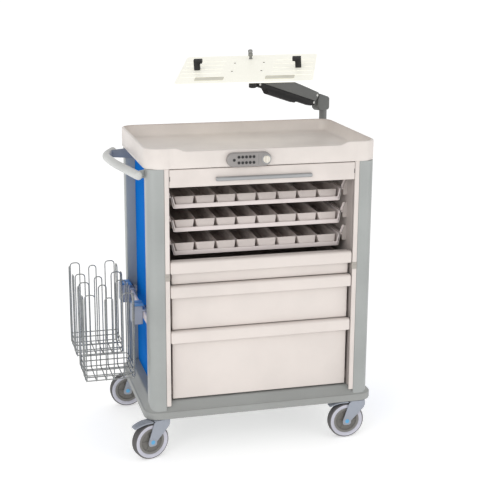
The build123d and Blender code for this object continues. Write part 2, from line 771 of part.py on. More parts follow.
for corner in corner_signs:
    x, y = caster_place(corner)
    turn = caster_turns[corner]
    middle = upright_plane(x, y, turn)
    crown_top = base_bottom - gap
    crown_bottom = crown_top - crown_thickness
    with BuildPart() as caster_fork:
        for sign in (-1, 1):
            leg_middle = sign * (fork_inside + fork_plate) / 2
            with BuildSketch(upright_plane(x, y, turn, leg_middle)):
                with BuildLine():
                    Polyline((-fork_back, crown_top), (fork_front_top, crown_top), (fork_front, crown_bottom),
                             (caster_trail + fork_leg_radius, wheel_radius),
                             (caster_trail - fork_leg_radius, wheel_radius),
                             (-fork_front_top, crown_bottom - fork_shoulder_drop), close=True)
                make_face()
                with Locations((caster_trail, wheel_radius)):
                    Circle(fork_leg_radius)
            extrude(amount=fork_plate / 2, both=True)
        with BuildSketch(upright_plane(x, y, turn)):
            with BuildLine():
                Polyline((-fork_back, crown_top), (fork_front_top, crown_top), (fork_front, crown_bottom),
                         (-fork_back, crown_bottom), close=True)
            make_face()
        extrude(amount=fork_inside / 2 + fork_plate, both=True)
        with BuildSketch(Plane(origin=(x, y, crown_bottom))):
            Circle(stem_radius)
        extrude(amount=crown_thickness + gap + stem_length - gap)
        with BuildSketch(middle):
            with Locations((caster_trail, wheel_radius)):
                Circle(axle_radius)
        extrude(amount=fork_inside / 2 + fork_plate, both=True)
        with BuildSketch(middle):
            with Locations((caster_trail, wheel_radius)):
                RectangleRounded(axle_cap_size, axle_cap_size, axle_cap_size / 4)
                Circle(axle_radius, mode=Mode.SUBTRACT)
        cap_reach = fork_inside / 2 + fork_plate + axle_cap_height
        extrude(amount=cap_reach, both=True)
        with BuildSketch(middle):
            with Locations((caster_trail, wheel_radius)):
                Circle(wheel_radius)
                Circle(axle_radius, mode=Mode.SUBTRACT)
        extrude(amount=fork_inside / 2, both=True, mode=Mode.SUBTRACT)
    save(caster_fork, f"{corner}_caster_fork")
    with BuildPart() as caster_wheel:
        with BuildSketch(middle):
            with Locations((caster_trail, wheel_radius)):
                Circle(hub_radius)
                Circle(axle_radius + gap, mode=Mode.SUBTRACT)
        extrude(amount=hub_width / 2, both=True)
        for sign in (-1, 1):
            with BuildSketch(upright_plane(x, y, turn, sign * hub_width / 2)):
                with Locations((caster_trail, wheel_radius)):
                    Circle(hub_recess_radius)
                    Circle(2 * axle_radius, mode=Mode.SUBTRACT)
            extrude(amount=-sign * hub_recess, mode=Mode.SUBTRACT)
    save(caster_wheel, f"{corner}_caster_wheel")
    with BuildPart() as caster_tyre:
        with BuildSketch(middle):
            with Locations((caster_trail, wheel_radius)):
                Circle(wheel_radius)
                Circle(hub_radius, mode=Mode.SUBTRACT)
        extrude(amount=tyre_width / 2, both=True)
        tread_edges = edges().filter_by(GeomType.CIRCLE).sort_by(SortBy.RADIUS)[-2:]
        fillet(tread_edges, tyre_shoulder)
    save(caster_tyre, f"{corner}_caster_tyre")
    if corner.startswith("front"):
        with BuildPart() as brake_pedal:
            pedal_top = crown_top - pedal_headroom
            pedal_bend = pedal_hinge_ahead + pedal_flat
            pedal_tip = pedal_hinge_ahead + pedal_length
            with BuildSketch(middle):
                with BuildLine():
                    Polyline((pedal_hinge_ahead, pedal_top), (pedal_bend, pedal_top),
                             (pedal_tip, pedal_top - pedal_drop),
                             (pedal_tip, pedal_top - pedal_drop - pedal_thickness),
                             (pedal_bend, pedal_top - pedal_thickness),
                             (pedal_hinge_ahead, pedal_top - pedal_thickness), close=True)
                make_face()
                with Locations((pedal_hinge_ahead, pedal_top - pedal_thickness / 2)):
                    Circle(pedal_thickness / 2)
            extrude(amount=pedal_width / 2, both=True)
        save(brake_pedal, f"{corner}_brake_pedal")

# ---- Support arm ----

arm_direction = (cos(radians(arm_azimuth)), sin(radians(arm_azimuth)))
arm_plane = upright_plane(mast_x, mast_y, arm_azimuth)
far_upper = (upper_pivot[0] + arm_reach[0], upper_pivot[1] + arm_reach[1])
far_lower = (lower_pivot[0] + arm_reach[0], lower_pivot[1] + arm_reach[1])
reach_length = hypot(*arm_reach)
bracket_top = mast_bottom + mast_plate_height

with BuildPart() as mast_bracket:
    block((mast_x - mast_bracket_width / 2 - mast_plate_overlap, half_width),
          (half_depth, half_depth + mast_plate_thickness), (mast_bottom, bracket_top))
    for ear_low in (mast_bottom, bracket_top - mast_bracket_ear):
        with BuildSketch(Plane.XY.offset(ear_low)):
            box_sketch(mast_x - mast_bracket_width / 2, mast_x + mast_bracket_width / 2,
                       half_depth + mast_plate_thickness, mast_y)
            with Locations((mast_x, mast_y)):
                Circle(mast_bracket_width / 2)
                Circle(mast_radius + gap, mode=Mode.SUBTRACT)
        extrude(amount=mast_bracket_ear)
save(mast_bracket, "mast_bracket")

with BuildPart() as arm_elbow:
    with BuildSketch(Plane.XY.offset(mast_bottom - mast_foot)):
        with Locations((mast_x, mast_y)):
            Circle(mast_radius)
    extrude(amount=elbow_bottom - mast_bottom + mast_foot)
    with BuildSketch(Plane.XY.offset(bracket_top + gap)):
        with Locations((mast_x, mast_y)):
            Circle(collar_radius)
    extrude(amount=collar_height)
    with BuildSketch(arm_plane):
        with BuildLine():
            Polyline(*[(along, elbow_bottom + up) for along, up in elbow_outline], close=True)
        make_face()
    extrude(amount=cover_outside / 2, both=True)
    with BuildSketch(arm_plane):
        with BuildLine():
            Polyline(*[(along, elbow_bottom + up) for along, up in ear_outline], close=True)
        make_face()
    extrude(amount=ear_thickness / 2, both=True)
    for pivot, width in ((upper_pivot, cover_outside), (lower_pivot, link_outside)):
        with BuildSketch(arm_plane):
            with Locations(pivot):
                Circle(pin_radius)
        extrude(amount=width / 2, both=True)
save(arm_elbow, "arm_elbow")

cover_start = arm_plane.from_local_coords((*upper_pivot, 0))
cover_end = arm_plane.from_local_coords((*far_upper, 0))
cover_plane = Plane(origin=cover_start, x_dir=cover_end - cover_start, z_dir=arm_plane.z_dir)
link_plane = Plane(origin=arm_plane.from_local_coords((*lower_pivot, 0)),
                   x_dir=cover_plane.x_dir, z_dir=arm_plane.z_dir)

with BuildPart() as arm_cover:
    with BuildSketch(cover_plane):
        with BuildLine():
            Polyline(*cover_outline, close=True)
        make_face()
    extrude(amount=cover_outside / 2, both=True)
    with BuildSketch(cover_plane):
        with BuildLine():
            Polyline(*cover_hollow, close=True)
        make_face()
    extrude(amount=cover_inside / 2, both=True, mode=Mode.SUBTRACT)
    with BuildSketch(cover_plane):
        with Locations((0, 0), (reach_length, 0)):
            Circle(pin_radius + gap)
    extrude(amount=cover_outside, both=True, mode=Mode.SUBTRACT)
save(arm_cover, "arm_cover")

with BuildPart() as arm_link:
    with BuildSketch(link_plane):
        with BuildLine():
            Polyline(*link_outline, close=True)
        make_face()
    extrude(amount=link_outside / 2, both=True)
    with BuildSketch(link_plane):
        with Locations((link_fork_inset, 0), (reach_length - link_fork_inset, 0)):
            Rectangle(link_fork_length, link_fork_length)
    extrude(amount=link_inside / 2, both=True, mode=Mode.SUBTRACT)
    with BuildSketch(link_plane):
        with Locations((0, 0), (reach_length, 0)):
            Circle(pin_radius + gap)
    extrude(amount=link_outside, both=True, mode=Mode.SUBTRACT)
save(arm_link, "arm_link")

swivel_s = far_upper[0] + head_swivel_ahead
swivel_x = mast_x + arm_direction[0] * swivel_s
swivel_y = mast_y + arm_direction[1] * swivel_s

with BuildPart() as arm_head:
    with BuildSketch(arm_plane):
        with BuildLine():
            Polyline(*[(far_upper[0] + along, far_upper[1] + up) for along, up in head_upper_outline],
                     (swivel_s - head_neck, head_top - head_shoulder),
                     (swivel_s - head_neck, far_lower[1] - head_underside),
                     *[(far_lower[0] + along, far_lower[1] + up) for along, up in head_lower_outline],
                     close=True)
        make_face()
    extrude(amount=ear_thickness / 2, both=True)
    with BuildSketch(Plane.XY.offset(far_lower[1] - head_underside)):
        with Locations((swivel_x, swivel_y)):
            Circle(head_boss_radius)
    extrude(amount=head_top - far_lower[1] + head_underside)
    for pivot, width in ((far_upper, cover_outside), (far_lower, link_outside)):
        with BuildSketch(arm_plane):
            with Locations(pivot):
                Circle(pin_radius)
        extrude(amount=width / 2, both=True)
save(arm_head, "arm_head")

# ---- Laptop tray on its tilt bracket ----

tray_turn = radians(laptop_tray_turn)
tray_tilt = radians(laptop_tray_tilt)
tray_roll = radians(laptop_tray_roll)
level_across = Vector(cos(tray_turn), sin(tray_turn), 0)
level_back = Vector(-sin(tray_turn), cos(tray_turn), 0)
tilted_back = level_back * cos(tray_tilt) + Vector(0, 0, sin(tray_tilt))
tilted_up = Vector(0, 0, cos(tray_tilt)) - level_back * sin(tray_tilt)
level_plane = Plane(origin=(swivel_x, swivel_y, tilt_axis_z), x_dir=level_across)
tilt_side = Plane(origin=level_plane.origin, x_dir=level_back, z_dir=level_across)
tilted_side = Plane(origin=level_plane.origin, x_dir=tilted_back, z_dir=level_across)
tray_across = level_across * cos(tray_roll) + tilted_up * sin(tray_roll)
tray_up = tilted_up * cos(tray_roll) - level_across * sin(tray_roll)
tray_plane = Plane(origin=level_plane.origin, x_dir=tray_across, z_dir=tray_up)

with BuildPart() as tray_bracket:
    with BuildSketch(Plane(origin=(swivel_x, swivel_y, head_top + gap))):
        Circle(head_boss_radius)
    extrude(amount=tray_boss_height)
    with BuildSketch(tilt_side):
        Circle(tilt_ear_radius)
        with Locations((0, -(tilt_axis_z - head_top - gap) / 2)):
            Rectangle(2 * tilt_ear_radius, tilt_axis_z - head_top - gap)
    extrude(amount=tilt_bracket_half, both=True)
    with BuildSketch(tilt_side):
        Circle(pin_radius)
    extrude(amount=tilt_bracket_half + tilt_ear_gap + tilt_ear_thickness, both=True)
save(tray_bracket, "tray_bracket")

tray_plate_low = tray_above_axis - laptop_tray_thickness
with BuildPart() as laptop_tray:
    for sign in (-1, 1):
        ear_middle = tilt_bracket_half + tilt_ear_gap + tilt_ear_thickness / 2
        with BuildSketch(tilted_side.offset(sign * ear_middle)):
            Circle(tilt_ear_radius)
            with Locations((0, tray_plate_low / 2)):
                Rectangle(2 * tilt_ear_radius, tray_plate_low)
            Circle(pin_radius + gap, mode=Mode.SUBTRACT)
        extrude(amount=tilt_ear_thickness / 2, both=True)
    with BuildSketch(tray_plane.offset(tray_plate_low - mount_plate_thickness)):
        with Locations((laptop_tray_side, laptop_tray_ahead + hole_pattern_ahead)):
            RectangleRounded(mount_plate_size, mount_plate_size, mount_plate_corner)
        Rectangle(2 * (tilt_bracket_half + tilt_ear_gap), 3 * tilt_ear_radius, mode=Mode.SUBTRACT)
    extrude(amount=mount_plate_thickness)
    with BuildSketch(tray_plane.offset(tray_plate_low)):
        with Locations((laptop_tray_side, laptop_tray_ahead)):
            RectangleRounded(laptop_tray_width, laptop_tray_depth, laptop_tray_corner)
        slot_x = laptop_tray_width / 2 - slot_inset - slot_length / 2
        for sign in (-1, 1):
            with Locations((laptop_tray_side + sign * slot_x, laptop_tray_ahead)):
                with GridLocations(1, slot_pitch, 1, slots_per_side):
                    SlotOverall(slot_length, slot_height, mode=Mode.SUBTRACT)
    extrude(amount=laptop_tray_thickness)
    with BuildSketch(tray_plane.offset(tray_plate_low - mount_plate_thickness)):
        with Locations((laptop_tray_side, laptop_tray_ahead + hole_pattern_ahead)):
            with GridLocations(hole_pattern, hole_pattern, 2, 2):
                Circle(hole_radius)
    extrude(amount=laptop_tray_thickness + mount_plate_thickness, mode=Mode.SUBTRACT)
save(laptop_tray, "laptop_tray")

with BuildPart() as tray_clips:
    with BuildSketch(tray_plane.offset(tray_above_axis)):
        for sign in (-1, 1):
            clip_x = laptop_tray_side + sign * (laptop_tray_width / 2 - clip_inset_x)
            with Locations((clip_x, laptop_tray_ahead)):
                Rectangle(clip_width, clip_depth)
    extrude(amount=clip_height)
    with BuildSketch(tray_plane.offset(tray_above_axis + clip_height - clip_arm_height)):
        for sign in (-1, 1):
            arm_reach_x = laptop_tray_width / 2 - clip_inset_x - (clip_width + clip_overhang) / 2
            with Locations((laptop_tray_side + sign * arm_reach_x, laptop_tray_ahead)):
                Rectangle(clip_overhang, clip_depth)
    extrude(amount=clip_arm_height)
save(tray_clips, "tray_clips")

stud_place = (laptop_tray_side, laptop_tray_ahead + laptop_tray_depth / 2 - stud_inset)
with BuildPart() as tray_knob:
    with BuildSketch(tray_plane.offset(tray_above_axis + gap)):
        with Locations(stud_place):
            Circle(stud_radius)
    extrude(amount=stud_height)
save(tray_knob, "tray_knob")
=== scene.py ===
import json
import math

import bpy
import numpy as np
from mathutils import Matrix, Vector


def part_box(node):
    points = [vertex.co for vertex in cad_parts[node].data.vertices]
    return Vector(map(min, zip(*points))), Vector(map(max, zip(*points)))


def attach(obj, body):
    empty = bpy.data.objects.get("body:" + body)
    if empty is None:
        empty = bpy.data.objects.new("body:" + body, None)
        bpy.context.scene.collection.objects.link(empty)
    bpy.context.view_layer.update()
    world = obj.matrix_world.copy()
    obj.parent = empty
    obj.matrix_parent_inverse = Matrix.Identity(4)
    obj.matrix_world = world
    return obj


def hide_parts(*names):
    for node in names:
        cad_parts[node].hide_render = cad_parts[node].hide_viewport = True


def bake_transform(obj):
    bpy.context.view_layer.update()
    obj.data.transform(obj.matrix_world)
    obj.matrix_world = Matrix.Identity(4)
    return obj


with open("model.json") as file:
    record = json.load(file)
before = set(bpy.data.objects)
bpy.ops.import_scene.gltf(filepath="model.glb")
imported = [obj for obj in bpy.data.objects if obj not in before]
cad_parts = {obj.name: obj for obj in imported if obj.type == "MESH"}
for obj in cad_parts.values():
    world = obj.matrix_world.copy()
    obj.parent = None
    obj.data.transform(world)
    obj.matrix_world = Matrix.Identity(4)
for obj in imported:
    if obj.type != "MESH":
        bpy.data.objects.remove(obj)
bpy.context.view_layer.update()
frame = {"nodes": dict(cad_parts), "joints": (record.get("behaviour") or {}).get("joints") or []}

joints = {joint["name"]: (np.array(joint.get("pos_m", (0, 0, 0))), np.array(joint["axis"]))
          for joint in frame["joints"]}
rightWay, backWay, upWay = np.eye(3)
print("frame loaded")

# ---- Camera, light and floor ----

cameraSizes = {"place": (-0.9982, -3.7783, 1.6736), "yaw": 0.26395, "pitch": 0.26083, "roll": 0.00687,
               "lens": 83.52}
lightSizes = {"zenith": 0.62, "horizon": 1.12, "sharpness": 0.55, "keyPower": 38.0, "keySize": 2.6,
              "keyPlace": (-2.6, -3.4, 2.3), "fillPower": 11.0, "fillPlace": (2.8, -3.0, 1.4),
              "floorGlow": 0.42, "target": (0.0, 0.0, 0.6)}


def makeCamera(sizes):
    # The view direction is turned by yaw, tipped by pitch and rolled about itself.
    yaw, pitch, roll = sizes["yaw"], sizes["pitch"], sizes["roll"]
    ahead = Vector((math.sin(yaw) * math.cos(pitch), math.cos(yaw) * math.cos(pitch), -math.sin(pitch)))
    side = Vector((math.cos(yaw), -math.sin(yaw), 0))
    above = side.cross(ahead)
    turnedSide = side * math.cos(roll) + above * math.sin(roll)
    turnedAbove = above * math.cos(roll) - side * math.sin(roll)
    camera = bpy.data.objects.new("camera", bpy.data.cameras.new("camera"))
    rotation = Matrix((turnedSide, turnedAbove, -ahead)).transposed().to_4x4()
    camera.matrix_world = Matrix.Translation(sizes["place"]) @ rotation
    camera.data.lens = sizes["lens"]
    camera.data.sensor_width = 36.0
    camera.data.clip_end = 200.0
    bpy.context.scene.collection.objects.link(camera)
    bpy.context.scene.camera = camera


def makeSoftbox(name, place, power, size, target):
    lamp = bpy.data.lights.new(name, "AREA")
    lamp.shape, lamp.size, lamp.energy = "DISK", size, power
    softbox = bpy.data.objects.new(name, lamp)
    softbox.location = place
    softbox.rotation_euler = (Vector(target) - Vector(place)).to_track_quat("-Z", "Y").to_euler()
    bpy.context.scene.collection.objects.link(softbox)


class Value:
    # One socket. Arithmetic on it adds Math nodes.
    def __init__(self, paint, socket):
        self.paint, self.socket = paint, socket

    def math(self, operation, first, second, clamp=False):
        return self.paint.node("ShaderNodeMath", {"operation": operation, "use_clamp": clamp},
                               {0: first, 1: second})

    def __add__(self, other):
        return self.math("ADD", self, other)

    __radd__ = __add__

    def __sub__(self, other):
        return self.math("SUBTRACT", self, other)

    def __rsub__(self, other):
        return self.math("SUBTRACT", other, self)

    def __mul__(self, other):
        return self.math("MULTIPLY", self, other)

    __rmul__ = __mul__

    def clamped(self):
        return self.math("ADD", self, 0.0, clamp=True)


class Paint:
    # One node tree and the few ways this scene adds to it.
    def __init__(self, tree):
        self.tree = tree
        tree.nodes.clear()

    def node(self, kind, settings=None, values=None, output=0):
        made = self.tree.nodes.new(kind)
        for key, value in (settings or {}).items():
            setattr(made, key, value)
        for key, value in (values or {}).items():
            if isinstance(value, Value):
                self.tree.links.new(value.socket, made.inputs[key])
            else:
                made.inputs[key].default_value = value
        return Value(self, made.outputs[output]) if len(made.outputs) else None

    def mix(self, share, first, second):
        colours = {0: share, 6: first, 7: second}
        return self.node("ShaderNodeMix", {"data_type": "RGBA"}, colours, output=2)

    def noise(self, place, scale, detail=3.0):
        return self.node("ShaderNodeTexNoise", {},
                         {"Vector": place, "Scale": scale, "Detail": detail, "Roughness": 0.55})


def linear(red, green, blue):
    # A display colour from 0 to 255 as scene-linear light.
    share = np.array([red, green, blue]) / 255
    curve = np.where(share <= 0.04045, share / 12.92, ((share + 0.055) / 1.055) ** 2.4)
    return (*curve.tolist(), 1.0)


def makeWorld(sizes):
    world = bpy.data.worlds.new("studio")
    world.use_nodes = True
    bpy.context.scene.world = world
    paint = Paint(world.node_tree)
    direction = paint.node("ShaderNodeTexCoord", output="Generated")
    height = paint.node("ShaderNodeSeparateXYZ", {}, {0: direction}, output=2)
    climb = paint.node("ShaderNodeMath", {"operation": "POWER"}, {0: height.clamped(), 1: sizes["sharpness"]})
    strength = climb * (sizes["zenith"] - sizes["horizon"]) + sizes["horizon"]
    background = paint.node("ShaderNodeBackground", {}, {"Color": (1, 1, 1, 1), "Strength": strength})
    paint.node("ShaderNodeOutputWorld", {}, {"Surface": background})


def makeFloor(sizes):
    mesh = bpy.data.meshes.new("floor")
    reach = 70.0
    corners = [(-reach, -reach, 0), (reach, -reach, 0), (reach, reach, 0), (-reach, reach, 0)]
    mesh.from_pydata(corners, [], [(0, 1, 2, 3)])
    floor = bpy.data.objects.new("floor", mesh)
    bpy.context.scene.collection.objects.link(floor)
    material = bpy.data.materials.new("floorPaper")
    material.use_nodes = True
    paint = Paint(material.node_tree)
    place = paint.node("ShaderNodeTexCoord", output="Object")
    tone = paint.mix(paint.noise(place, 1.5), linear(238, 238, 238), linear(244, 244, 244))
    shader = paint.node("ShaderNodeBsdfPrincipled", {}, {
        "Base Color": tone, "Roughness": 0.8, "Emission Color": (1, 1, 1, 1),
        "Emission Strength": sizes["floorGlow"]})
    paint.node("ShaderNodeOutputMaterial", {}, {"Surface": shader})
    mesh.materials.append(material)


bpy.context.scene.view_settings.view_transform = "Standard"
makeCamera(cameraSizes)
makeWorld(lightSizes)
makeFloor(lightSizes)
makeSoftbox("keySoftbox", lightSizes["keyPlace"], lightSizes["keyPower"], lightSizes["keySize"],
            lightSizes["target"])
makeSoftbox("fillSoftbox", lightSizes["fillPlace"], lightSizes["fillPower"], lightSizes["keySize"],
            lightSizes["target"])
print("studio ready")

# ---- Finishes ----

plainLook = {
    "shade": 0.90, "patch": 5.0, "grain": 700.0, "stretch": (1, 1, 1), "dent": 0.10, "dentReach": 0.0002,
    "roughness": 0.42, "spread": 0.12, "metal": 0.0, "coat": 0.0, "wear": 0.25, "scuff": 0.25, "dust": 0.0,
    "shine": 0.5, "glow": 0.0,
}
looks = {
    "creamPlastic": {"colour": (222, 214, 208), "grain": 520.0, "roughness": 0.40, "coat": 0.12},
    "creamFront": {"colour": (221, 212, 206), "grain": 600.0, "roughness": 0.36, "coat": 0.18, "patch": 3.2},
    "creamSteel": {"colour": (220, 211, 205), "grain": 380.0, "dent": 0.2, "roughness": 0.46, "patch": 6.5},
    # Cream steel made darker: painted shade for the liners, rails, lug seats and drawer boxes inside the
    # cabinet.
    "insideSteel": {"colour": (170, 160, 154), "grain": 380.0, "dent": 0.2, "roughness": 0.55, "patch": 6.5},
    "curtainPlastic": {"colour": (222, 214, 208), "grain": 420.0, "roughness": 0.5},
    "anodised": {"colour": (164, 167, 165), "stretch": (1, 1, 0.02), "grain": 900.0, "dent": 0.16,
                 "roughness": 0.36, "metal": 0.35, "spread": 0.08, "wear": 0.15},
    "baseGrey": {"colour": (152, 154, 152), "grain": 450.0, "roughness": 0.48, "dust": 0.5, "wear": 0.4},
    "bluePanel": {"colour": (4, 108, 196), "shade": 0.90, "grain": 420.0, "dent": 0.2, "roughness": 0.7,
                  "shine": 0.02, "wear": 0.0, "patch": 4.0},
    "traySteel": {"colour": (226, 216, 213), "grain": 400.0, "dent": 0.2, "roughness": 0.4, "coat": 0.1},
    "binPlastic": {"colour": (214, 204, 199), "grain": 520.0, "roughness": 0.34, "patch": 9.0},
    "satinSilver": {"colour": (166, 167, 168), "stretch": (0.03, 1, 1), "grain": 900.0, "roughness": 0.3,
                    "metal": 0.7, "wear": 0.1},
    "lockSilver": {"colour": (148, 144, 142), "grain": 800.0, "roughness": 0.34, "metal": 0.3, "patch": 20.0},
    # Black rubber for the lock keys, also used as painted shade for the shutter's end slots.
    "blackRubber": {"colour": (34, 33, 33), "grain": 900.0, "dent": 0.3, "roughness": 0.6, "patch": 30.0},
    "ivoryKnob": {"colour": (226, 220, 208), "grain": 600.0, "roughness": 0.3, "coat": 0.2, "patch": 25.0},
    "handleGrey": {"colour": (198, 199, 196), "grain": 500.0, "dent": 0.14, "roughness": 0.36, "coat": 0.15},
    # A darker copy of the bracket grey: painted shade on the rear handle bracket.
    "slateSteel": {"colour": (128, 134, 144), "grain": 420.0, "dent": 0.2, "roughness": 0.45, "patch": 12.0},
    "paleBracket": {"colour": (186, 190, 190), "grain": 420.0, "dent": 0.2, "roughness": 0.42, "patch": 12.0},
    "railSteel": {"colour": (222, 212, 214), "grain": 500.0, "roughness": 0.36, "coat": 0.15, "patch": 8.0},
    "plateWire": {"colour": (158, 160, 159), "shade": 0.7, "grain": 700.0, "roughness": 0.22, "metal": 0.95,
                  "patch": 14.0, "wear": 0.0},
    "hookPlastic": {"colour": (164, 170, 184), "grain": 500.0, "roughness": 0.42, "patch": 12.0},
    "clipBlue": {"colour": (84, 142, 200), "grain": 500.0, "roughness": 0.34, "patch": 14.0},
    "skyBlue": {"colour": (92, 168, 214), "grain": 500.0, "roughness": 0.34, "patch": 30.0},
    "casterPlastic": {"colour": (152, 158, 169), "grain": 520.0, "roughness": 0.4, "dust": 0.3,
                      "patch": 10.0},
    "hubPlastic": {"colour": (104, 102, 98), "grain": 520.0, "roughness": 0.46, "dust": 0.3, "patch": 14.0},
    "tyreRubber": {"colour": (196, 196, 208), "grain": 620.0, "dent": 0.3, "roughness": 0.55, "dust": 0.5,
                   "patch": 12.0},
    "treadRubber": {"colour": (74, 73, 76), "grain": 500.0, "dent": 0.45, "roughness": 0.7, "dust": 0.6,
                    "patch": 12.0},
    "armGrey": {"colour": (94, 95, 93), "grain": 330.0, "dent": 0.45, "dentReach": 0.0004, "roughness": 0.5,
                "patch": 14.0, "wear": 0.3},
    "armBlack": {"shine": 0.3, "colour": (26, 25, 25), "grain": 420.0, "dent": 0.3, "roughness": 0.6,
                 "patch": 14.0},
    "steelScrew": {"colour": (206, 206, 202), "grain": 900.0, "roughness": 0.25, "metal": 0.9, "patch": 40.0},
    # The ivory tray is given a glow: painted light that makes it brighter than its lamps light it.
    "trayIvory": {"glow": 0.18, "colour": (253, 251, 238), "shade": 0.965, "grain": 420.0, "dent": 0.15,
                  "roughness": 0.4, "patch": 7.0, "wear": 0.1, "scuff": 0.1},
    "padIvory": {"colour": (226, 223, 208), "grain": 260.0, "dent": 0.5, "dentReach": 0.0004,
                 "roughness": 0.7, "patch": 20.0},
    "studSteel": {"colour": (140, 140, 138), "stretch": (1, 1, 0.1), "grain": 900.0, "roughness": 0.34,
                  "metal": 0.7, "patch": 40.0},
    "stopGrey": {"colour": (172, 166, 158), "grain": 520.0, "roughness": 0.42, "patch": 20.0},
}


def makeFinish(name, changes):
    # Broad patches shade the colour at random, sparse scuffs dull it, convex edges are painted paler as wear and
    # as a painted highlight, a glow value paints light into the surface, and a fine grain dents it.
    look = {**plainLook, **changes}
    material = bpy.data.materials.new(name)
    material.use_nodes = True
    paint = Paint(material.node_tree)
    place = paint.node("ShaderNodeTexCoord", output="Object")
    patches = paint.noise(place, look["patch"], 5.0)
    scuffs = ((paint.noise(place, look["patch"] * 9, 6.0) - 0.60) * 6.0).clamped()
    grainPlace = paint.node("ShaderNodeMapping", {}, {"Vector": place, "Scale": look["stretch"]})
    grain = paint.noise(grainPlace, look["grain"], 2.0)
    edges = ((paint.node("ShaderNodeNewGeometry", output="Pointiness") - 0.53) * 9.0).clamped()
    height = paint.node("ShaderNodeSeparateXYZ", {}, {0: place}, output=2)
    dust = ((0.26 - height) * 5.0).clamped() * patches * look["dust"]
    full = np.array(linear(*look["colour"]))
    shaded = (*(full[:3] * look["shade"]), 1.0)
    paleEdgeTone = (*(full[:3] * 0.6 + 0.4), 1.0)
    dusty = (*(full[:3] * 0.5 + np.array([0.30, 0.28, 0.25]) * 0.5), 1.0)
    tone = paint.mix(((patches - 0.38) * 3.5).clamped(), tuple(full), shaded)
    tone = paint.mix(scuffs * look["scuff"] * 0.3, tone, shaded)
    # Convex edges painted paler: edge wear together with a painted highlight.
    tone = paint.mix(edges * look["wear"], tone, paleEdgeTone)
    tone = paint.mix(dust, tone, dusty)
    rough = ((patches - 0.5) * look["spread"] + scuffs * look["scuff"] * 0.3 + grain * 0.05 + dust * 0.3
             + look["roughness"])
    normal = paint.node("ShaderNodeBump", {},
                        {"Strength": look["dent"], "Distance": look["dentReach"], "Height": grain})
    # Where glow is above zero, a warm emission paints light into the surface.
    shader = paint.node("ShaderNodeBsdfPrincipled", {}, {
        "Base Color": tone, "Roughness": rough.clamped(), "Metallic": look["metal"], "Normal": normal,
        "Coat Weight": look["coat"], "Coat Roughness": 0.25, "Specular IOR Level": look["shine"],
        "Emission Color": (1.0, 0.98, 0.90, 1.0), "Emission Strength": look["glow"]})
    paint.node("ShaderNodeOutputMaterial", {}, {"Surface": shader})
    return material


finishes = {name: makeFinish(name, changes) for name, changes in looks.items()}
print("finishes mixed:", len(finishes))

# ---- Shells: every new surface is worked out here as (points, faces) ----


def corners(node):
    low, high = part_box(node)
    return np.array(low), np.array(high)


def unit(vector):
    return vector / np.linalg.norm(vector)


def outward(points, faces):
    # Six times the enclosed volume is the sum of a . (b x c) over the faces' fans.
    # If it's negative, every face turns.
    fans = [(face[0], face[i], face[i + 1]) for face in faces for i in range(1, len(face) - 1)]
    a, b, c = points[np.array(fans).T]
    if np.einsum("ij,ij->", a, np.cross(b, c)) < 0:
        faces = [face[::-1] for face in faces]
    return points, faces


def loftShell(rings, closed=False):
    # Quads from each ring to the next, and a face over each open end.
    rings = np.asarray(rings, float)
    count, around = rings.shape[:2]
    index = np.arange(count * around).reshape(count, around)
    here, there = (index, np.roll(index, -1, 0)) if closed else (index[:-1], index[1:])
    quads = np.stack([here, np.roll(here, -1, 1), np.roll(there, -1, 1), there], -1).reshape(-1, 4)
    faces = quads.tolist()
    if not closed:
        faces += [index[0][::-1].tolist(), index[-1].tolist()]
    return outward(rings.reshape(-1, 3), faces)


def laid(loop, origin, across, up):
    # A flat loop placed in space: origin + x across + y up.
    return origin + loop[:, :1] * across + loop[:, 1:2] * up


def roundedLoop(halfX, halfY, radii, perCorner=6, frontStops=()):
    # Four quarter circles joined by straight runs, from the front left corner, with stops along the front.
    radii = np.broadcast_to(radii, 4)
    signs = np.array([(-1, -1), (1, -1), (1, 1), (-1, 1)])
    angle = np.pi * np.array([1, 1.5, 0, 0.5])[:, None] + np.linspace(0, np.pi / 2, perCorner)
    centre = signs * (np.array([halfX, halfY]) - radii[:, None])
    arcs = centre[:, None] + radii[:, None, None] * np.stack([np.cos(angle), np.sin(angle)], -1)
    front = np.stack([np.array(frontStops), np.full(len(frontStops), -halfY)], -1)
    return np.concatenate([arcs[0], front, *arcs[1:]])


def plateShell(halfX, halfY, radius, thickness, edge, origin, across, up, perCorner=6):
    # A rounded plate from origin along across x up, its outline drawn in by a quarter circle at both faces.
    turn = np.linspace(0, np.pi / 2, 4)
    inset = np.concatenate([edge * (1 - np.sin(turn)), edge * (1 - np.cos(turn))])
    depth = np.concatenate([edge * (1 - np.cos(turn)), thickness - edge + edge * np.sin(turn)])
    out = np.cross(across, up)
    return loftShell([laid(roundedLoop(halfX - i, halfY - i, max(radius - i, 0.0002), perCorner),
                           origin + out * d, across, up) for i, d in zip(inset, depth)])


def blockShell(low, high, edge):
    # A box between two corners with rounded edges.
    low, high = np.array(low), np.array(high)
    half = (high - low) / 2
    origin = np.array([*(low + half)[:2], low[2]])
    return plateShell(half[0], half[1], edge * 1.2, high[2] - low[2], edge, origin, rightWay, backWay,
                      perCorner=4)


def prismShell(outline, origin, across, up, low, high):
    out = np.cross(across, up)
    outline = np.array(outline, float)
    return loftShell([laid(outline, origin + out * reach, across, up) for reach in (low, high)])


def turnedShell(profile, origin, axis, sides=48, closed=False):
    # A profile of (radius, height) carried round the axis.
    profile = np.array(profile, float)
    axis = unit(np.array(axis, float))
    side = unit(np.cross(axis, rightWay if abs(axis[0]) < 0.9 else backWay))
    other = np.cross(axis, side)
    angle = np.linspace(0, 2 * np.pi, sides, endpoint=False)
    spokes = np.cos(angle)[:, None] * side + np.sin(angle)[:, None] * other
    return loftShell(origin + profile[:, 1, None, None] * axis + profile[:, 0, None, None] * spokes, closed)


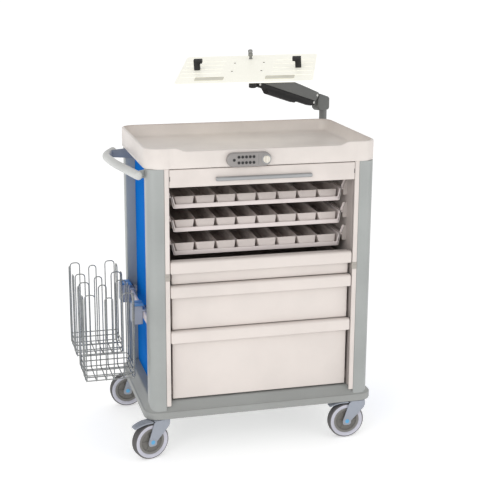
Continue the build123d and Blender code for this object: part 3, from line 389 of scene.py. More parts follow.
def roundedPath(points, radius, steps=6, closed=False):
    # Each corner becomes an arc about the point that lies radius from both of its runs.
    points = np.array(points, float)
    before, after = np.roll(points, 1, 0) - points, np.roll(points, -1, 0) - points
    before, after = before / np.linalg.norm(before, axis=1)[:, None], after / np.linalg.norm(after,
                                                                                             axis=1)[:, None]
    half = np.arccos(np.clip((before * after).sum(1), -1, 1)) / 2
    middle = (before + after) / np.linalg.norm(before + after, axis=1)[:, None]
    radius = np.broadcast_to(radius, len(points))
    centre = points + middle * (radius / np.sin(half))[:, None]
    first = points + before * (radius / np.tan(half))[:, None] - centre
    last = points + after * (radius / np.tan(half))[:, None] - centre
    sweep = (np.pi - 2 * half)[:, None]
    share = np.linspace(0, 1, steps)[None]
    arcs = centre[:, None] + (np.sin((1 - share) * sweep)[..., None] * first[:, None]
                              + np.sin(share * sweep)[..., None] * last[:, None]) / np.sin(sweep)[..., None]
    if closed:
        return arcs.reshape(-1, 3)
    return np.concatenate([points[:1], arcs[1:-1].reshape(-1, 3), points[-1:]])


def tubeShell(path, radius, reference, sides=10, closed=False):
    # Circles square to the path. Their first spoke is the reference, less its part along the path.
    path = np.asarray(path, float)
    ahead = np.roll(path, -1, 0) - np.roll(path, 1, 0) if closed else np.gradient(path, axis=0)
    ahead /= np.linalg.norm(ahead, axis=1)[:, None]
    spoke = np.asarray(reference, float) - ahead * (ahead @ np.asarray(reference, float))[:, None]
    spoke /= np.linalg.norm(spoke, axis=1)[:, None]
    other = np.cross(ahead, spoke)
    angle = np.linspace(0, 2 * np.pi, sides, endpoint=False)[None, :, None]
    radius = np.broadcast_to(radius, len(path))[:, None, None]
    return loftShell(path[:, None] + radius
                     * (np.cos(angle) * spoke[:, None] + np.sin(angle) * other[:, None]), closed)


def joined(*shells):
    points, faces, start = [], [], 0
    for shellPoints, shellFaces in shells:
        points.append(shellPoints)
        faces += [[corner + start for corner in face] for face in shellFaces]
        start += len(shellPoints)
    return np.concatenate(points), faces


def addPiece(name, shell, finish, body, nodes=(), bevel=0.0, sharp=38.0, ride=True):
    points, faces = shell
    mesh = bpy.data.meshes.new(name)
    mesh.from_pydata(points.tolist(), [], faces)
    mesh.update()
    mesh.shade_smooth()
    mesh.materials.append(finishes[finish])
    piece = bpy.data.objects.new(name, mesh)
    bpy.context.scene.collection.objects.link(piece)
    if bevel:
        rounding = piece.modifiers.new("rounding", "BEVEL")
        rounding.width, rounding.segments, rounding.limit_method = bevel, 3, "ANGLE"
        rounding.harden_normals = True
    else:
        mesh.set_sharp_from_angle(angle=math.radians(sharp))
    if ride:
        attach(piece, body)
    if nodes:
        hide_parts(*nodes)
    return piece


def coat(finish, *nodes):
    # A CAD node keeps its shape and takes a finish.
    for node in nodes:
        mesh = frame["nodes"][node].data
        mesh.materials.clear()
        mesh.materials.append(finishes[finish])


# ---- Worktop ----

worktopSizes = {"corner": 0.050, "rim": 0.008, "rimRound": 0.0032, "floor": 0.026, "draft": 0.0085,
                "cove": 0.012,
                "notchDrop": 0.011, "notchOuter": 0.290, "notchInner": 0.255, "faceHalf": 0.3130,
                "faceStep": 0.0012, "faceRecess": 0.002}


def makeWorktop(sizes):
    # Rings of one outline, drawn in step by step: up the outside, over the rim, down into the dish
    # and along its cove.
    low, high = corners("worktop")
    centre, half = (low + high) / 2, (high - low) / 2
    top, floor = high[2], low[2] + sizes["floor"]
    turn = np.linspace(0, np.pi / 2, 5)
    r, cove = sizes["rimRound"], sizes["cove"]
    rim, draft = sizes["rim"], sizes["draft"]
    under = [(0.030, low[2]), (0.004, low[2]), (0.001, low[2] + 0.0006), (0.0, low[2] + 0.003),
             (0.0, low[2] + 0.020)]
    outer = [(r * (1 - np.cos(t)), top - r + r * np.sin(t)) for t in turn]
    inner = [(rim - r * np.cos(t), top - r + r * np.sin(t)) for t in turn[::-1]]
    wallEnd = rim + draft
    coved = [(wallEnd + cove * (1 - np.cos(t)), floor + cove * (1 - np.sin(t))) for t in turn]
    profile = np.array(under + outer + inner + coved + [(wallEnd + 0.06, floor)])
    stops = [sizes["faceHalf"] + sizes["faceStep"], sizes["faceHalf"] - sizes["faceStep"],
             *np.linspace(sizes["notchOuter"], sizes["notchInner"], 6), 0.17, 0.085]
    stops = [-stop for stop in stops] + [0.0] + stops[::-1]
    rings = []
    for inset, z in profile:
        radius = max(sizes["corner"] - inset, 0.003)
        loop = roundedLoop(half[0] - inset, half[1] - inset, radius, 9, stops)
        ring = laid(loop, np.array([centre[0], centre[1], z]), rightWay, backWay)
        front = loop[:, 1] < -half[1] + inset + 0.02
        slope = np.clip((sizes["notchOuter"] - abs(loop[:, 0])) / (sizes["notchOuter"] - sizes["notchInner"]),
                        0, 1)
        reach = np.clip((z - low[2] - 0.036) / (top - low[2] - 0.036), 0, 1)
        ring[:, 2] -= front * sizes["notchDrop"] * slope * slope * (3 - 2 * slope) * reach
        if inset < rim / 2:
            ring[:, 1] += front * (abs(loop[:, 0]) < sizes["faceHalf"]) * sizes["faceRecess"]
        rings.append(ring)
    addPiece("worktopMoulding", loftShell(rings), "creamPlastic", "root", ["worktop"], sharp=50.0)


makeWorktop(worktopSizes)
print("worktop made")

# ---- Base, posts and panels ----

baseSizes = {"corner": 0.045, "skirt": 0.0255, "inset": 0.025, "edge": 0.004, "pocket": (0.300, 0.190),
             "roof": 0.012}
postSizes = {"outerCorner": 0.028, "innerCorner": 0.0035}
panelSizes = {"screw": 0.0045, "screwInset": 0.022, "screwHead": 0.0018}


def makeBase(sizes):
    # The underside pocket, the skirt and the slope up to the cabinet are one stack of rounded loops.
    low, high = corners("base_moulding")
    half = (high - low) / 2
    edge, inset = sizes["edge"], sizes["inset"]
    skirtTop = low[2] + sizes["skirt"]
    turn = np.linspace(0, np.pi / 2, 4)
    profile = [(edge * (1 - np.sin(t)), low[2] + edge * (1 - np.cos(t))) for t in turn]
    profile += [(edge * 0.5 * (1 - np.cos(t)), skirtTop - edge * 0.5 * (1 - np.sin(t))) for t in turn]
    profile += [(0.006, skirtTop + 0.0040), (inset - 0.004, high[2] - 0.0052),
                (inset - 0.001, high[2] - 0.0012), (inset + 0.003, high[2]), (inset + 0.03, high[2])]
    pocketX, pocketY = sizes["pocket"]
    rings = [laid(roundedLoop(pocketX, pocketY, sizes["corner"], 8), np.array([0, 0, z]), rightWay, backWay)
             for z in (high[2] - sizes["roof"], low[2])]
    rings += [laid(roundedLoop(half[0] - i, half[1] - i, max(sizes["corner"] - i, 0.004), 8),
                   np.array([0, 0, z]), rightWay, backWay) for i, z in profile]
    addPiece("baseMoulding", loftShell(rings), "baseGrey", "root", ["base_moulding"], sharp=45.0)


def makePosts(sizes):
    # One aluminium section per corner, its large radius turned outwards.
    for corner, rank in {"front_left": 0, "front_right": 1, "rear_right": 2, "rear_left": 3}.items():
        low, high = corners(f"{corner}_post")
        centre, half = (low + high) / 2, (high - low) / 2
        radii = np.full(4, sizes["innerCorner"])
        radii[rank] = sizes["outerCorner"]
        loop = roundedLoop(half[0], half[1], radii, 9)
        rings = [laid(loop, np.array([centre[0], centre[1], z]), rightWay, backWay)
                 for z in np.linspace(low[2], high[2], 12)]
        name = corner.split("_")[0] + corner.split("_")[1].capitalize() + "Post"
        addPiece(name, loftShell(rings), "anodised", "root", [f"{corner}_post"])


def makePanelScrews(sizes):
    low, high = corners("back_panel")
    shells = []
    for x in (low[0] + sizes["screwInset"], 0, high[0] - sizes["screwInset"]):
        for z in np.linspace(low[2] + sizes["screwInset"], high[2] - sizes["screwInset"], 4):
            r, h = sizes["screw"], sizes["screwHead"]
            profile = [(r, 0), (r, h * 0.4), (r * 0.8, h * 0.85), (r * 0.5, h), (r * 0.42, h),
                       (r * 0.42, h * 0.4)]
            shells.append(turnedShell(profile, np.array([x, high[1] - 0.0001, z]), backWay, 16))
    addPiece("backPanelScrews", joined(*shells), "steelScrew", "root")


makeBase(baseSizes)
makePosts(postSizes)
makePanelScrews(panelSizes)
coat("bluePanel", "left_side_panel", "right_side_panel")
coat("creamSteel", "back_panel")
# The liners and rails take the darker steel: painted shade.
coat("insideSteel", "inner_liners", "slide_rails")
print("cabinet made")

# ---- Guide strips, stops and lugs ----

stripSizes = {"edge": 0.0016, "stopOver": 0.0016, "stopThick": 0.011, "split": 0.6225, "lugHeight": 0.027,
              "lugThick": 0.004, "lugInset": 0.012, "splitHalf": 0.0115, "gripHalf": 0.0035,
              "stripThick": 0.008, "linerGap": 0.003, "seatDepth": 0.020, "seatHigh": 0.003, "seatLow": 0.024}


def makeStrips(sizes):
    low, high = corners("guide_strips")
    inner = corners("inner_liners")[1][0] - sizes["linerGap"]
    split, splitHalf, gripHalf = sizes["split"], sizes["splitHalf"], sizes["gripHalf"]
    shells, stops = [], []
    for sign in (-1, 1):
        xs = sorted((sign * inner, sign * high[0]))
        for zLow, zHigh in ((low[2], split - splitHalf), (split + splitHalf, high[2])):
            shells.append(blockShell((xs[0], low[1], zLow), (xs[1], low[1] + sizes["stripThick"], zHigh),
                                     sizes["edge"]))
        over = sizes["stopOver"]
        stops.append(blockShell((xs[0] - over, low[1] - 0.0008, split - splitHalf),
                                (xs[1] + over * 0.4, low[1] + sizes["stopThick"], split + splitHalf), 0.002))
        grip = blockShell((xs[0] + 0.002, low[1] - 0.0022, split - gripHalf),
                          (xs[1] - 0.002, low[1] + 0.004, split + gripHalf), 0.0012)
        stops.append(grip)
    addPiece("guideStrips", joined(*shells), "creamSteel", "root", ["guide_strips"])
    addPiece("guideStops", joined(*stops), "stopGrey", "root")


def makeLugs(sizes):
    # A pointed lug stands on each tray ledge, beside the liner.
    liner = corners("inner_liners")[1][0] - sizes["linerGap"]
    shells, seats = [], []
    for level in ("upper", "centre", "lower"):
        low, high = corners(f"{level}_bin_tray")
        for sign in (-1, 1):
            inner, outer, z = high[0] + 0.001, liner, high[2] + 0.0005
            apex = (inner + outer) / 2 - 0.001
            outline = [(inner - 0.006, z), (outer, z), (outer, z + 0.006),
                       (apex + 0.003, z + sizes["lugHeight"]),
                       (apex - 0.003, z + sizes["lugHeight"]), (inner - 0.006, z + 0.005)]
            outline = [(sign * x, y) for x, y in outline]
            origin = np.array([0, low[1] + sizes["lugInset"], 0])
            shells.append(prismShell(outline, origin, rightWay, upWay, 0, sizes["lugThick"]))
            xs = sorted((sign * (inner - 0.0004), sign * outer))
            seats.append(blockShell((xs[0], low[1] + 0.003, z - sizes["seatLow"]),
                                    (xs[1], low[1] + sizes["seatDepth"], z - sizes["seatHigh"]), 0.002))
    addPiece("trayLugs", joined(*shells), "traySteel", "root", bevel=0.0009)
    # The lug seats take the darker steel: painted shade.
    addPiece("trayLugSeats", joined(*seats), "insideSteel", "root")


makeStrips(stripSizes)
makeLugs(stripSizes)
print("guides made")

# ---- Drawers ----

drawerSizes = {"edge": 0.0022, "lipHeight": 0.040, "lipRound": 0.009, "lipSkin": 0.007,
               "lipUndercut": 0.018, "lipCatch": 0.0128, "heel": 0.0022, "panelWidth": 0.604, "thickness": 0.018}


def makeDrawerFront(level, sizes):
    low, high = corners(f"{level}_drawer_front")
    face = high[1] - sizes["thickness"]
    half = sizes["panelWidth"] / 2
    panel = blockShell((-half, face, low[2]), (half, high[1], high[2] - 0.001), sizes["edge"])
    addPiece(f"{level}DrawerPanel", panel, "creamFront", f"{level}_drawer",
             [f"{level}_drawer_front"])
    # The lip's section: a rounded nose at the top, a straight drop, and a hollow behind it for the fingers.
    top, nose, skin = high[2], low[1], sizes["lipSkin"]
    bottom, r = top - sizes["lipHeight"], sizes["lipRound"]
    turn = np.linspace(0, np.pi / 2, 8)
    arc = [(nose + r - r * np.sin(t), top - r + r * np.cos(t)) for t in turn]
    h = sizes["heel"]
    heel = [(nose + h * (1 - np.cos(t)), bottom + h * (1 - np.sin(t))) for t in turn[::2]]
    hollow = [(nose + skin - 0.0015, bottom), (nose + skin, bottom + 0.0015),
              (nose + skin, top - sizes["lipUndercut"]),
              (nose + skin + 0.004, top - sizes["lipUndercut"] + 0.005), (face + 0.002, top - sizes["lipCatch"]),
              (face + 0.002, top)]
    outline = np.array(arc + heel + hollow)
    ends = high[0]
    reach = np.array([-ends, -ends + 0.0006, -ends + 0.002, -ends + 0.0045, ends - 0.0045, ends - 0.002,
                      ends - 0.0006, ends])
    draw = np.array([0.0035, 0.0016, 0.0005, 0, 0, 0.0005, 0.0016, 0.0035])
    middle = np.array([face, (top + bottom) / 2])
    rings = []
    for x, pull in zip(reach, draw):
        shrink = 1 - pull / (sizes["lipHeight"] / 2)
        loop = middle + (outline - middle) * np.array([shrink, shrink])
        rings.append(np.column_stack([np.full(len(loop), x), loop]))
    addPiece(f"{level}DrawerLip", loftShell(rings), "creamFront", f"{level}_drawer",
             sharp=40.0)
    # The drawer box takes the darker steel: painted shade.
    coat("insideSteel", f"{level}_drawer_box")


for level in ("top", "middle", "bottom"):
    makeDrawerFront(level, drawerSizes)
print("drawers made")

# ---- Bin trays ----

traySizes = {"sheet": 0.002, "front": 0.014, "side": 0.040, "flange": 0.014, "flare": 0.007}
binSizes = {"count": 8, "pitch": 0.070, "width": 0.066, "wall": 0.0018, "slope": 0.014, "rim": 0.0012,
            "taper": 0.0006, "frontTaper": 0.0065, "frontDrop": 0.012}


def makeTray(level, sizes):
    # A folded sheet: a channel section carried back, with a rounded front rail and cheeks that lean
    # out to flanges.
    low, high = corners(f"{level}_bin_tray")
    half, sheet = high[0] - sizes["flange"], sizes["sheet"]
    z, top = low[2], low[2] + sizes["side"]
    flare, flange = sizes["flare"], sizes["flange"]
    right = [(half - 0.004, z), (half - 0.001, z + 0.003), (half + flare, top - sheet),
             (half + flange, top - sheet),
             (half + flange, top), (half + flare - sheet, top), (half - 0.001 - sheet, z + 0.004),
             (half - 0.006, z + sheet)]
    section = np.array(right + [(-x, y) for x, y in right[::-1]])
    channel = prismShell(section, np.array([0.0, 0.0, 0.0]), rightWay, upWay, -high[1], -low[1])
    rail = blockShell((-half + 0.001, low[1] - 0.0002, z), (half - 0.001, low[1] + 0.004, z + sizes["front"]),
                      0.0018)
    back = blockShell((-half, high[1] - sheet, z), (half, high[1], top), 0.0006)
    cheeks = []
    for sign in (-1, 1):
        outline = [(sign * (half - 0.004), z + 0.001), (sign * (half + 0.001), z + 0.001),
                   (sign * (half + flare + 0.0012), top), (sign * (half + flare - 0.005), top),
                   (sign * (half - 0.005), z + sizes["front"])]
        cheeks.append(prismShell(outline, np.array([0, low[1], 0]), rightWay, upWay, -0.003, 0))
    shell = joined(channel, rail, back, *cheeks)
    addPiece(f"{level}Tray", shell, "traySteel", f"{level}_tray", [f"{level}_bin_tray"], bevel=0.0005)


def makeBins(level, sizes):
    # Each bin goes up its outside, over a thin rim and down its inside. Its front leans back, narrows
    # downward and stands lower than its back.
    low, high = corners(f"{level}_tray_bins")
    wall, slope, height = sizes["wall"], sizes["slope"], high[2] - low[2]
    shells = []
    for number in range(sizes["count"]):
        x = (number - (sizes["count"] - 1) / 2) * sizes["pitch"]
        rings = []
        spans = [(0.0015, 0.0), (0.0002, 0.0008), (0.0, 0.003), (0.0, height - sizes["rim"]),
                 (wall * 0.3, height),
                 (wall * 0.7, height), (wall, height - sizes["rim"]), (wall, wall + 0.004),
                 (wall + 0.003, wall)]
        for inset, rise in spans:
            frontY = low[1] + slope * rise / height + inset
            backY = high[1] - inset
            halfX = sizes["width"] / 2 - inset - sizes["taper"] * (1 - rise / height)
            loop = roundedLoop(halfX, (backY - frontY) / 2, 0.003, 4)
            ring = laid(loop, np.array([x, (frontY + backY) / 2, low[2] + rise]), rightWay, backWay)
            towardFront = (backY - loop[:, 1] - (frontY + backY) / 2) / (backY - frontY)
            ring[:, 0] -= np.sign(loop[:, 0]) * sizes["frontTaper"] * (1 - rise / height) * towardFront ** 3
            drop = sizes["frontDrop"] * towardFront * (rise > height * 0.9)
            ring[:, 2] -= drop
            ring[:, 1] -= drop * slope / height * towardFront
            rings.append(ring)
        shells.append(loftShell(rings))
    addPiece(f"{level}Bins", joined(*shells), "binPlastic", f"{level}_bins", [f"{level}_tray_bins"],
             sharp=30.0)


for level in ("upper", "centre", "lower"):
    makeTray(level, traySizes)
    makeBins(level, binSizes)
print("trays made")

# ---- Shutter ----

shutterSizes = {"edge": 0.0022, "slotHalf": (0.0011, 0.0075), "ribs": 16, "ribProud": 0.0011,
                "sheetFront": 0.0008, "sheetThick": 0.0018, "topMargin": 0.003, "bottomMargin": 0.002,
                "thick": 0.009, "endGap": 0.011, "tongueThick": 0.0055, "tongue": (0.926, 0.966),
                "slotHeight": 0.9455, "travel": 0.24}


def makeShutter(sizes):
    low, high = corners("shutter_bar")
    front, thick = low[1], sizes["thick"]
    half = high[0] - sizes["endGap"]
    tongueLow, tongueHigh = sizes["tongue"]
    bar = blockShell((-half, front, low[2]), (half, front + thick, high[2]), sizes["edge"])
    tongues = [blockShell((min(s * (half - 0.01), s * high[0]), front + thick, tongueLow),
                          (max(s * (half - 0.01), s * high[0]), front + thick + sizes["tongueThick"],
                           tongueHigh), 0.001)
               for s in (-1, 1)]
    addPiece("shutterBar", joined(bar, *tongues), "creamSteel", "shutter", ["shutter_bar"])
    # Dark plates on the bar's ends stand in for slots: painted shade, no opening is cut.
    slotShades = [plateShell(*sizes["slotHalf"], 0.001, 0.0006, 0.0002,
                        np.array([s * (half - 0.0016), front + 0.0003, sizes["slotHeight"]]),
                        rightWay, upWay) for s in (-1, 1)]
    addPiece("shutterEndSlots", joined(*slotShades), "blackRubber", "shutter")
    pullLow, pullHigh = corners("shutter_handle")
    centre, pullHalf = (pullLow + pullHigh) / 2, (pullHigh - pullLow) / 2
    stretch = np.concatenate([-1 + 0.012 * (1 - np.cos(np.linspace(0, np.pi / 2, 6))),
                              1 - 0.012 * (1 - np.cos(np.linspace(np.pi / 2, 0, 6)))])
    size = np.concatenate([np.linspace(0.55, 1, 6), np.linspace(1, 0.55, 6)]) ** 0.6
    section = roundedLoop(pullHalf[1], pullHalf[2], (0.0045, 0.001, 0.001, 0.0045), 6)
    rings = [np.column_stack([np.full(len(section), centre[0] + s * pullHalf[0]),
                              centre[1] + section[:, 0] * (0.6 + 0.4 * k),
                              centre[2] + section[:, 1] * k]) for s, k in zip(stretch, size)]
    addPiece("shutterPull", loftShell(rings), "satinSilver", "shutter", ["shutter_handle"])
    # Ribs are crowded behind the bar at rest. The blend carries a point down by travel x w, w = 3t^2 - 2t^3,
    # so rib places are read back from that curve and come out even when the shutter is down.
    travel = sizes["travel"]
    top, bottom = high[2] - sizes["topMargin"], low[2] + sizes["bottomMargin"]
    share = np.linspace(0, 1, 2001)
    reach = (top - bottom) * share + travel * share * share * (3 - 2 * share)
    even = np.linspace(0, 1, sizes["ribs"] * 8 + 1)
    z = top - (top - bottom) * np.interp(even, reach / reach[-1], share)
    proud = sizes["ribProud"] * np.abs(np.sin(even * np.pi * sizes["ribs"])) ** 0.5
    back = front + thick + sizes["sheetFront"]
    rings = [[(-half + 0.001, back + sizes["ribProud"] - p, h),
              (half - 0.001, back + sizes["ribProud"] - p, h),
              (half - 0.001, back + sizes["ribProud"] + sizes["sheetThick"], h),
              (-half + 0.001, back + sizes["ribProud"] + sizes["sheetThick"], h)] for p, h in zip(proud, z)]
    curtain = addPiece("shutterCurtain", loftShell(rings), "curtainPlastic", "root", ride=False)
    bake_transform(curtain)
    coat("curtainPlastic", "shutter_curtain")


makeShutter(shutterSizes)
print("shutter made")

# ---- Keypad lock ----

lockSizes = {"edge": 0.0042, "keyRadius": 0.0048, "keyProud": 0.002, "columns": 5, "pitch": 0.0123,
             "rowPitch": 0.0185, "blockX": -0.064, "singleX": -0.104, "ringOut": 0.0152, "divideX": -0.0235,
             "knobRadius": 0.012, "knobProud": 0.012}


def makeLock(sizes):
    low, high = corners("lock_housing")
    centre, half = (low + high) / 2, (high - low) / 2
    origin = np.array([centre[0], high[1], centre[2]])
    body = plateShell(half[0], half[2], half[2] - 0.0005, high[1] - low[1], sizes["edge"], origin, rightWay,
                      upWay, 12)
    addPiece("lockHousing", body, "lockSilver", "root", ["lock_housing"])
    face = low[1]
    line = plateShell(0.0006, half[2] - 0.006, 0.0003, 0.0006, 0.0002,
                      np.array([sizes["divideX"], face + 0.0003, centre[2]]), rightWay, upWay, 3)
    addPiece("lockDivide", line, "armGrey", "root")
    knobAt = joints["lock_knob_turn"][0]
    ring = [(sizes["ringOut"], 0.0001), (sizes["ringOut"], 0.0010), (sizes["ringOut"] - 0.0008, 0.0014),
            (sizes["knobRadius"] + 0.0008, 0.0014), (sizes["knobRadius"] + 0.0004, 0.0008),
            (sizes["knobRadius"] + 0.0004, -0.001), (sizes["ringOut"] - 0.001, -0.001)]
    addPiece("lockKnobRing", turnedShell(ring, np.array([knobAt[0], face, knobAt[2]]), -backWay, 40,
                                         closed=True),
             "satinSilver", "root")
    keys = []
    places = [(sizes["singleX"], centre[2])]
    places += [(sizes["blockX"] + (c - (sizes["columns"] - 1) / 2) * sizes["pitch"],
                centre[2] + r * sizes["rowPitch"])
               for r in (-0.5, 0.5) for c in range(sizes["columns"])]
    r, proud = sizes["keyRadius"], sizes["keyProud"]
    profile = [(r, -0.004), (r, proud - 0.0009), (r * 0.86, proud - 0.0002), (r * 0.6, proud - 0.0003),
               (r * 0.3, proud - 0.0006), (r * 0.06, proud - 0.0007)]
    for x, z in places:
        keys.append(turnedShell(profile, np.array([x, face, z]), -backWay, 18))
    addPiece("lockKeys", joined(*keys), "blackRubber", "lock_keys", ["lock_keys"])
    knobOut, tall = sizes["knobRadius"] - 0.0002, sizes["knobProud"]
    disc = turnedShell([(knobOut, -0.0015), (knobOut, tall * 0.42), (knobOut - 0.0012, tall * 0.5),
                        (knobOut * 0.5, tall * 0.52),
                        (0.001, tall * 0.52)], np.array([knobAt[0], face, knobAt[2]]), -backWay, 40)
    grip = plateShell(0.0040, knobOut - 0.0006, 0.0035, tall * 0.55, 0.0018,
                      np.array([knobAt[0], face - tall * 0.45, knobAt[2]]), rightWay, upWay)
    addPiece("lockKnob", joined(disc, grip), "ivoryKnob", "lock_knob", ["lock_knob"])


makeLock(lockSizes)
print("lock made")

# ---- Push handle ----

handleSizes = {"radius": 0.014,
               "route": [(-0.401, -0.228), (-0.446, 0.010), (-0.456, 0.150), (-0.412, 0.246)],
               "bends": (0.900, 0.190), "bracket": 0.008, "half": 0.019}


def makeHandle(sizes):
    # The tube's centre line is three runs with large arcs between them, and both ends are rounded off.
    low, high = corners("handle_tube")
    z = (low[2] + high[2]) / 2
    points = np.array([(x, y, z) for x, y in sizes["route"]])
    middle = roundedPath(points, np.array([0.1, *sizes["bends"], 0.1]), steps=24)
    r = sizes["radius"]
    turn = np.linspace(np.pi / 2, 0, 7)[:-1]
    start, end = unit(middle[0] - middle[1]), unit(middle[-1] - middle[-2])
    depth = 0.008
    head = middle[0] - start * depth + np.sin(turn)[:, None] * start * depth
    tail = (middle[-1] - end * depth + np.sin(turn)[:, None] * end * depth)[::-1]
    radius = np.concatenate([r * (0.02 + 0.98 * np.cos(turn)) ** 0.9, [r, r], np.full(len(middle) - 2, r),
                             [r, r], (r * (0.02 + 0.98 * np.cos(turn)) ** 0.9)[::-1]])
    body = [middle[0] - start * depth, middle[0] - start * 0.012, *middle[1:-1], middle[-1] - end * 0.012,
            middle[-1] - end * depth]
    path = np.concatenate([head, body, tail])
    addPiece("pushHandle", tubeShell(path, radius[:len(path)], upWay, 28), "handleGrey", "root",
             ["handle_tube"])
    bracketLow, bracketHigh = corners("handle_brackets")
    panel = bracketHigh[0]
    frontPlate = [(-0.404, z - 0.012), (-0.404, z + 0.008), (panel, z + sizes["half"]),
                  (panel, z - sizes["half"])]
    shell = prismShell(frontPlate, np.array([0, bracketLow[1], 0]), rightWay, upWay, -sizes["bracket"], 0)
    addPiece("handleFrontBracket", shell, "paleBracket", "root", bevel=0.002)
    rearPlate = [(panel, z - sizes["half"]), (panel, z + sizes["half"]), (-0.424, z + 0.013),
                 (-0.441, z + 0.004), (-0.441, z - 0.006), (-0.424, z - 0.013)]
    shell = prismShell(rearPlate, np.array([0, bracketHigh[1] - sizes["bracket"], 0]), rightWay, upWay,
                       -sizes["bracket"], 0)
    # The rear bracket takes the darker grey: painted shade.
    addPiece("handleRearBracket", shell, "slateSteel", "root", ["handle_brackets"], bevel=0.002)


makeHandle(handleSizes)
print("handle made")

# ---- Side rail, hooks and wire racks ----

railSizes = {"edge": 0.003, "endLength": 0.002, "endOver": 0.0006}
rackSizes = {"wire": 0.002, "bend": 0.011, "middleDrop": 0.013, "sideDrop": 0.008, "inset": 0.005,
             "end": 0.038, "half": 0.013, "rings": (0.022, 0.040), "steps": 5}
hookSizes = {"edge": 0.004, "jaw": 0.006, "clipWide": 0.020, "clipHigh": 0.007}


def makeRail(sizes):
    low, high = corners("side_rail")
    rail = blockShell(low, high, sizes["edge"])
    addPiece("sideRail", rail, "railSteel", "root", ["side_rail"])
    over, ends = sizes["endOver"], []
    for y0, y1 in ((low[1], low[1] + sizes["endLength"]), (high[1] - sizes["endLength"], high[1])):
        ends.append(blockShell((low[0] - over, y0, low[2] - over), (high[0] + 0.021, y1, high[2] + over),
                               0.004))
    addPiece("railEnds", joined(*ends), "creamPlastic", "root")


def loopAlong(first, second, span, low, high, cross):
    # A wire down one wall, over the floor and up the far wall, and back again beside itself.
    side = [(span[0], high), (span[0], low), (span[1], low), (span[1], high)]
    there = [(first, a, z) for a, z in side] + [(second, a, z) for a, z in side[::-1]]
    return [(a, b, z) for b, a, z in there] if cross else there


def makeRack(place, sizes):
    low, high = corners(f"{place}_rack")
    r, bend = sizes["wire"], sizes["bend"]
    xs, ys = (low[0] + r, high[0] - r), (low[1] + r, high[1] - r)
    bottom, top = low[2] + r, high[2] - r
    middle = sum(xs) / 2
    inset, end, half = sizes["inset"], sizes["end"], sizes["half"]
    raised, sideTop = bottom + 2 * r - 0.001, top - sizes["sideDrop"]
    routes = [loopAlong(xs[0] + inset, xs[0] + end, ys, bottom, top, False),
              loopAlong(middle - half, middle + half, ys, bottom, top - sizes["middleDrop"], False),
              loopAlong(xs[1] - end, xs[1] - inset, ys, bottom, top, False),
              loopAlong(ys[0] + inset, ys[0] + end, xs, raised, sideTop, True),
              loopAlong(ys[1] - end, ys[1] - inset, xs, raised, sideTop, True)]
    ring = 2 * r - 0.001
    for rise in sizes["rings"]:
        routes.append([(xs[0] + ring, ys[0] + ring, bottom + rise),
                       (xs[1] - ring, ys[0] + ring, bottom + rise),
                       (xs[1] - ring, ys[1] - ring, bottom + rise),
                       (xs[0] + ring, ys[1] - ring, bottom + rise)])
    lean = unit(np.array([0.53, 0.61, 0.59]))
    shells = [tubeShell(roundedPath(route, bend, sizes["steps"], closed=True), r, lean, 8, closed=True)
              for route in routes]
    addPiece(f"{place}RackWires", joined(*shells), "plateWire", f"{place}_rack", [f"{place}_rack"],
             sharp=180.0)


def makeHook(place, sizes):
    low, high = corners(f"{place}_rack_hook")
    railLow, railHigh = corners("side_rail")
    y = (low[1] + high[1]) / 2
    gap, jaw, edge = 0.0003, sizes["jaw"], sizes["edge"]
    bodyTop = 0.492
    block = blockShell((low[0], low[1], low[2]), (railLow[0] - gap, high[1], bodyTop), edge)
    over = blockShell((railLow[0] - gap - jaw, low[1], railHigh[2] + gap),
                      (high[0], high[1], railHigh[2] + gap + jaw), 0.0018)
    grip = blockShell((railHigh[0] + gap, low[1], railHigh[2] - jaw),
                      (high[0], high[1], railHigh[2] + gap + jaw), 0.0018)
    ribs = [blockShell((low[0] - 0.0008, y + s * 0.014 - 0.002, low[2] + 0.010),
                       (low[0] + 0.002, y + s * 0.014 + 0.002,
                        bodyTop - 0.010), 0.0008) for s in (-1, 1)]
    addPiece(f"{place}RackHook", joined(block, over, grip, *ribs), "hookPlastic", f"{place}_rack",
             [f"{place}_rack_hook"])
    wide, tall = sizes["clipWide"], sizes["clipHigh"]
    lever = [(low[0] + 0.004, bodyTop - 0.001), (low[0] + 0.002, bodyTop + 0.004),
             (low[0] + 0.008, bodyTop + tall),
             (railLow[0] + 0.002, bodyTop + tall - 0.001), (railLow[0] + 0.006, bodyTop - 0.004),
             (railLow[0] - 0.002, bodyTop - 0.001)]
    clips = [prismShell(lever, np.array([0, y + s * 0.014, 0]), rightWay, upWay, -wide / 2, wide / 2)
             for s in (-1, 1)]
    addPiece(f"{place}RackClips", joined(*clips), "clipBlue", f"{place}_rack", bevel=0.0015)


makeRail(railSizes)
for place in ("rear", "front"):
    makeRack(place, rackSizes)
    makeHook(place, hookSizes)
print("racks made")

# ---- Casters ----

casterSizes = {"tyre": 0.0625, "tyreHalf": 0.015, "tread": 0.0575, "hub": 0.045, "hubHalf": 0.0125,
               "bossOut": 0.012,
               "bore": 0.0063, "inside": 0.034, "plate": 0.004, "leg": 0.015, "crown": 0.007, "cap": 0.0075,
               "capProud": 0.003, "pedalLength": 0.066, "pedalHalf": 0.020,
               "footPower": 0.6}


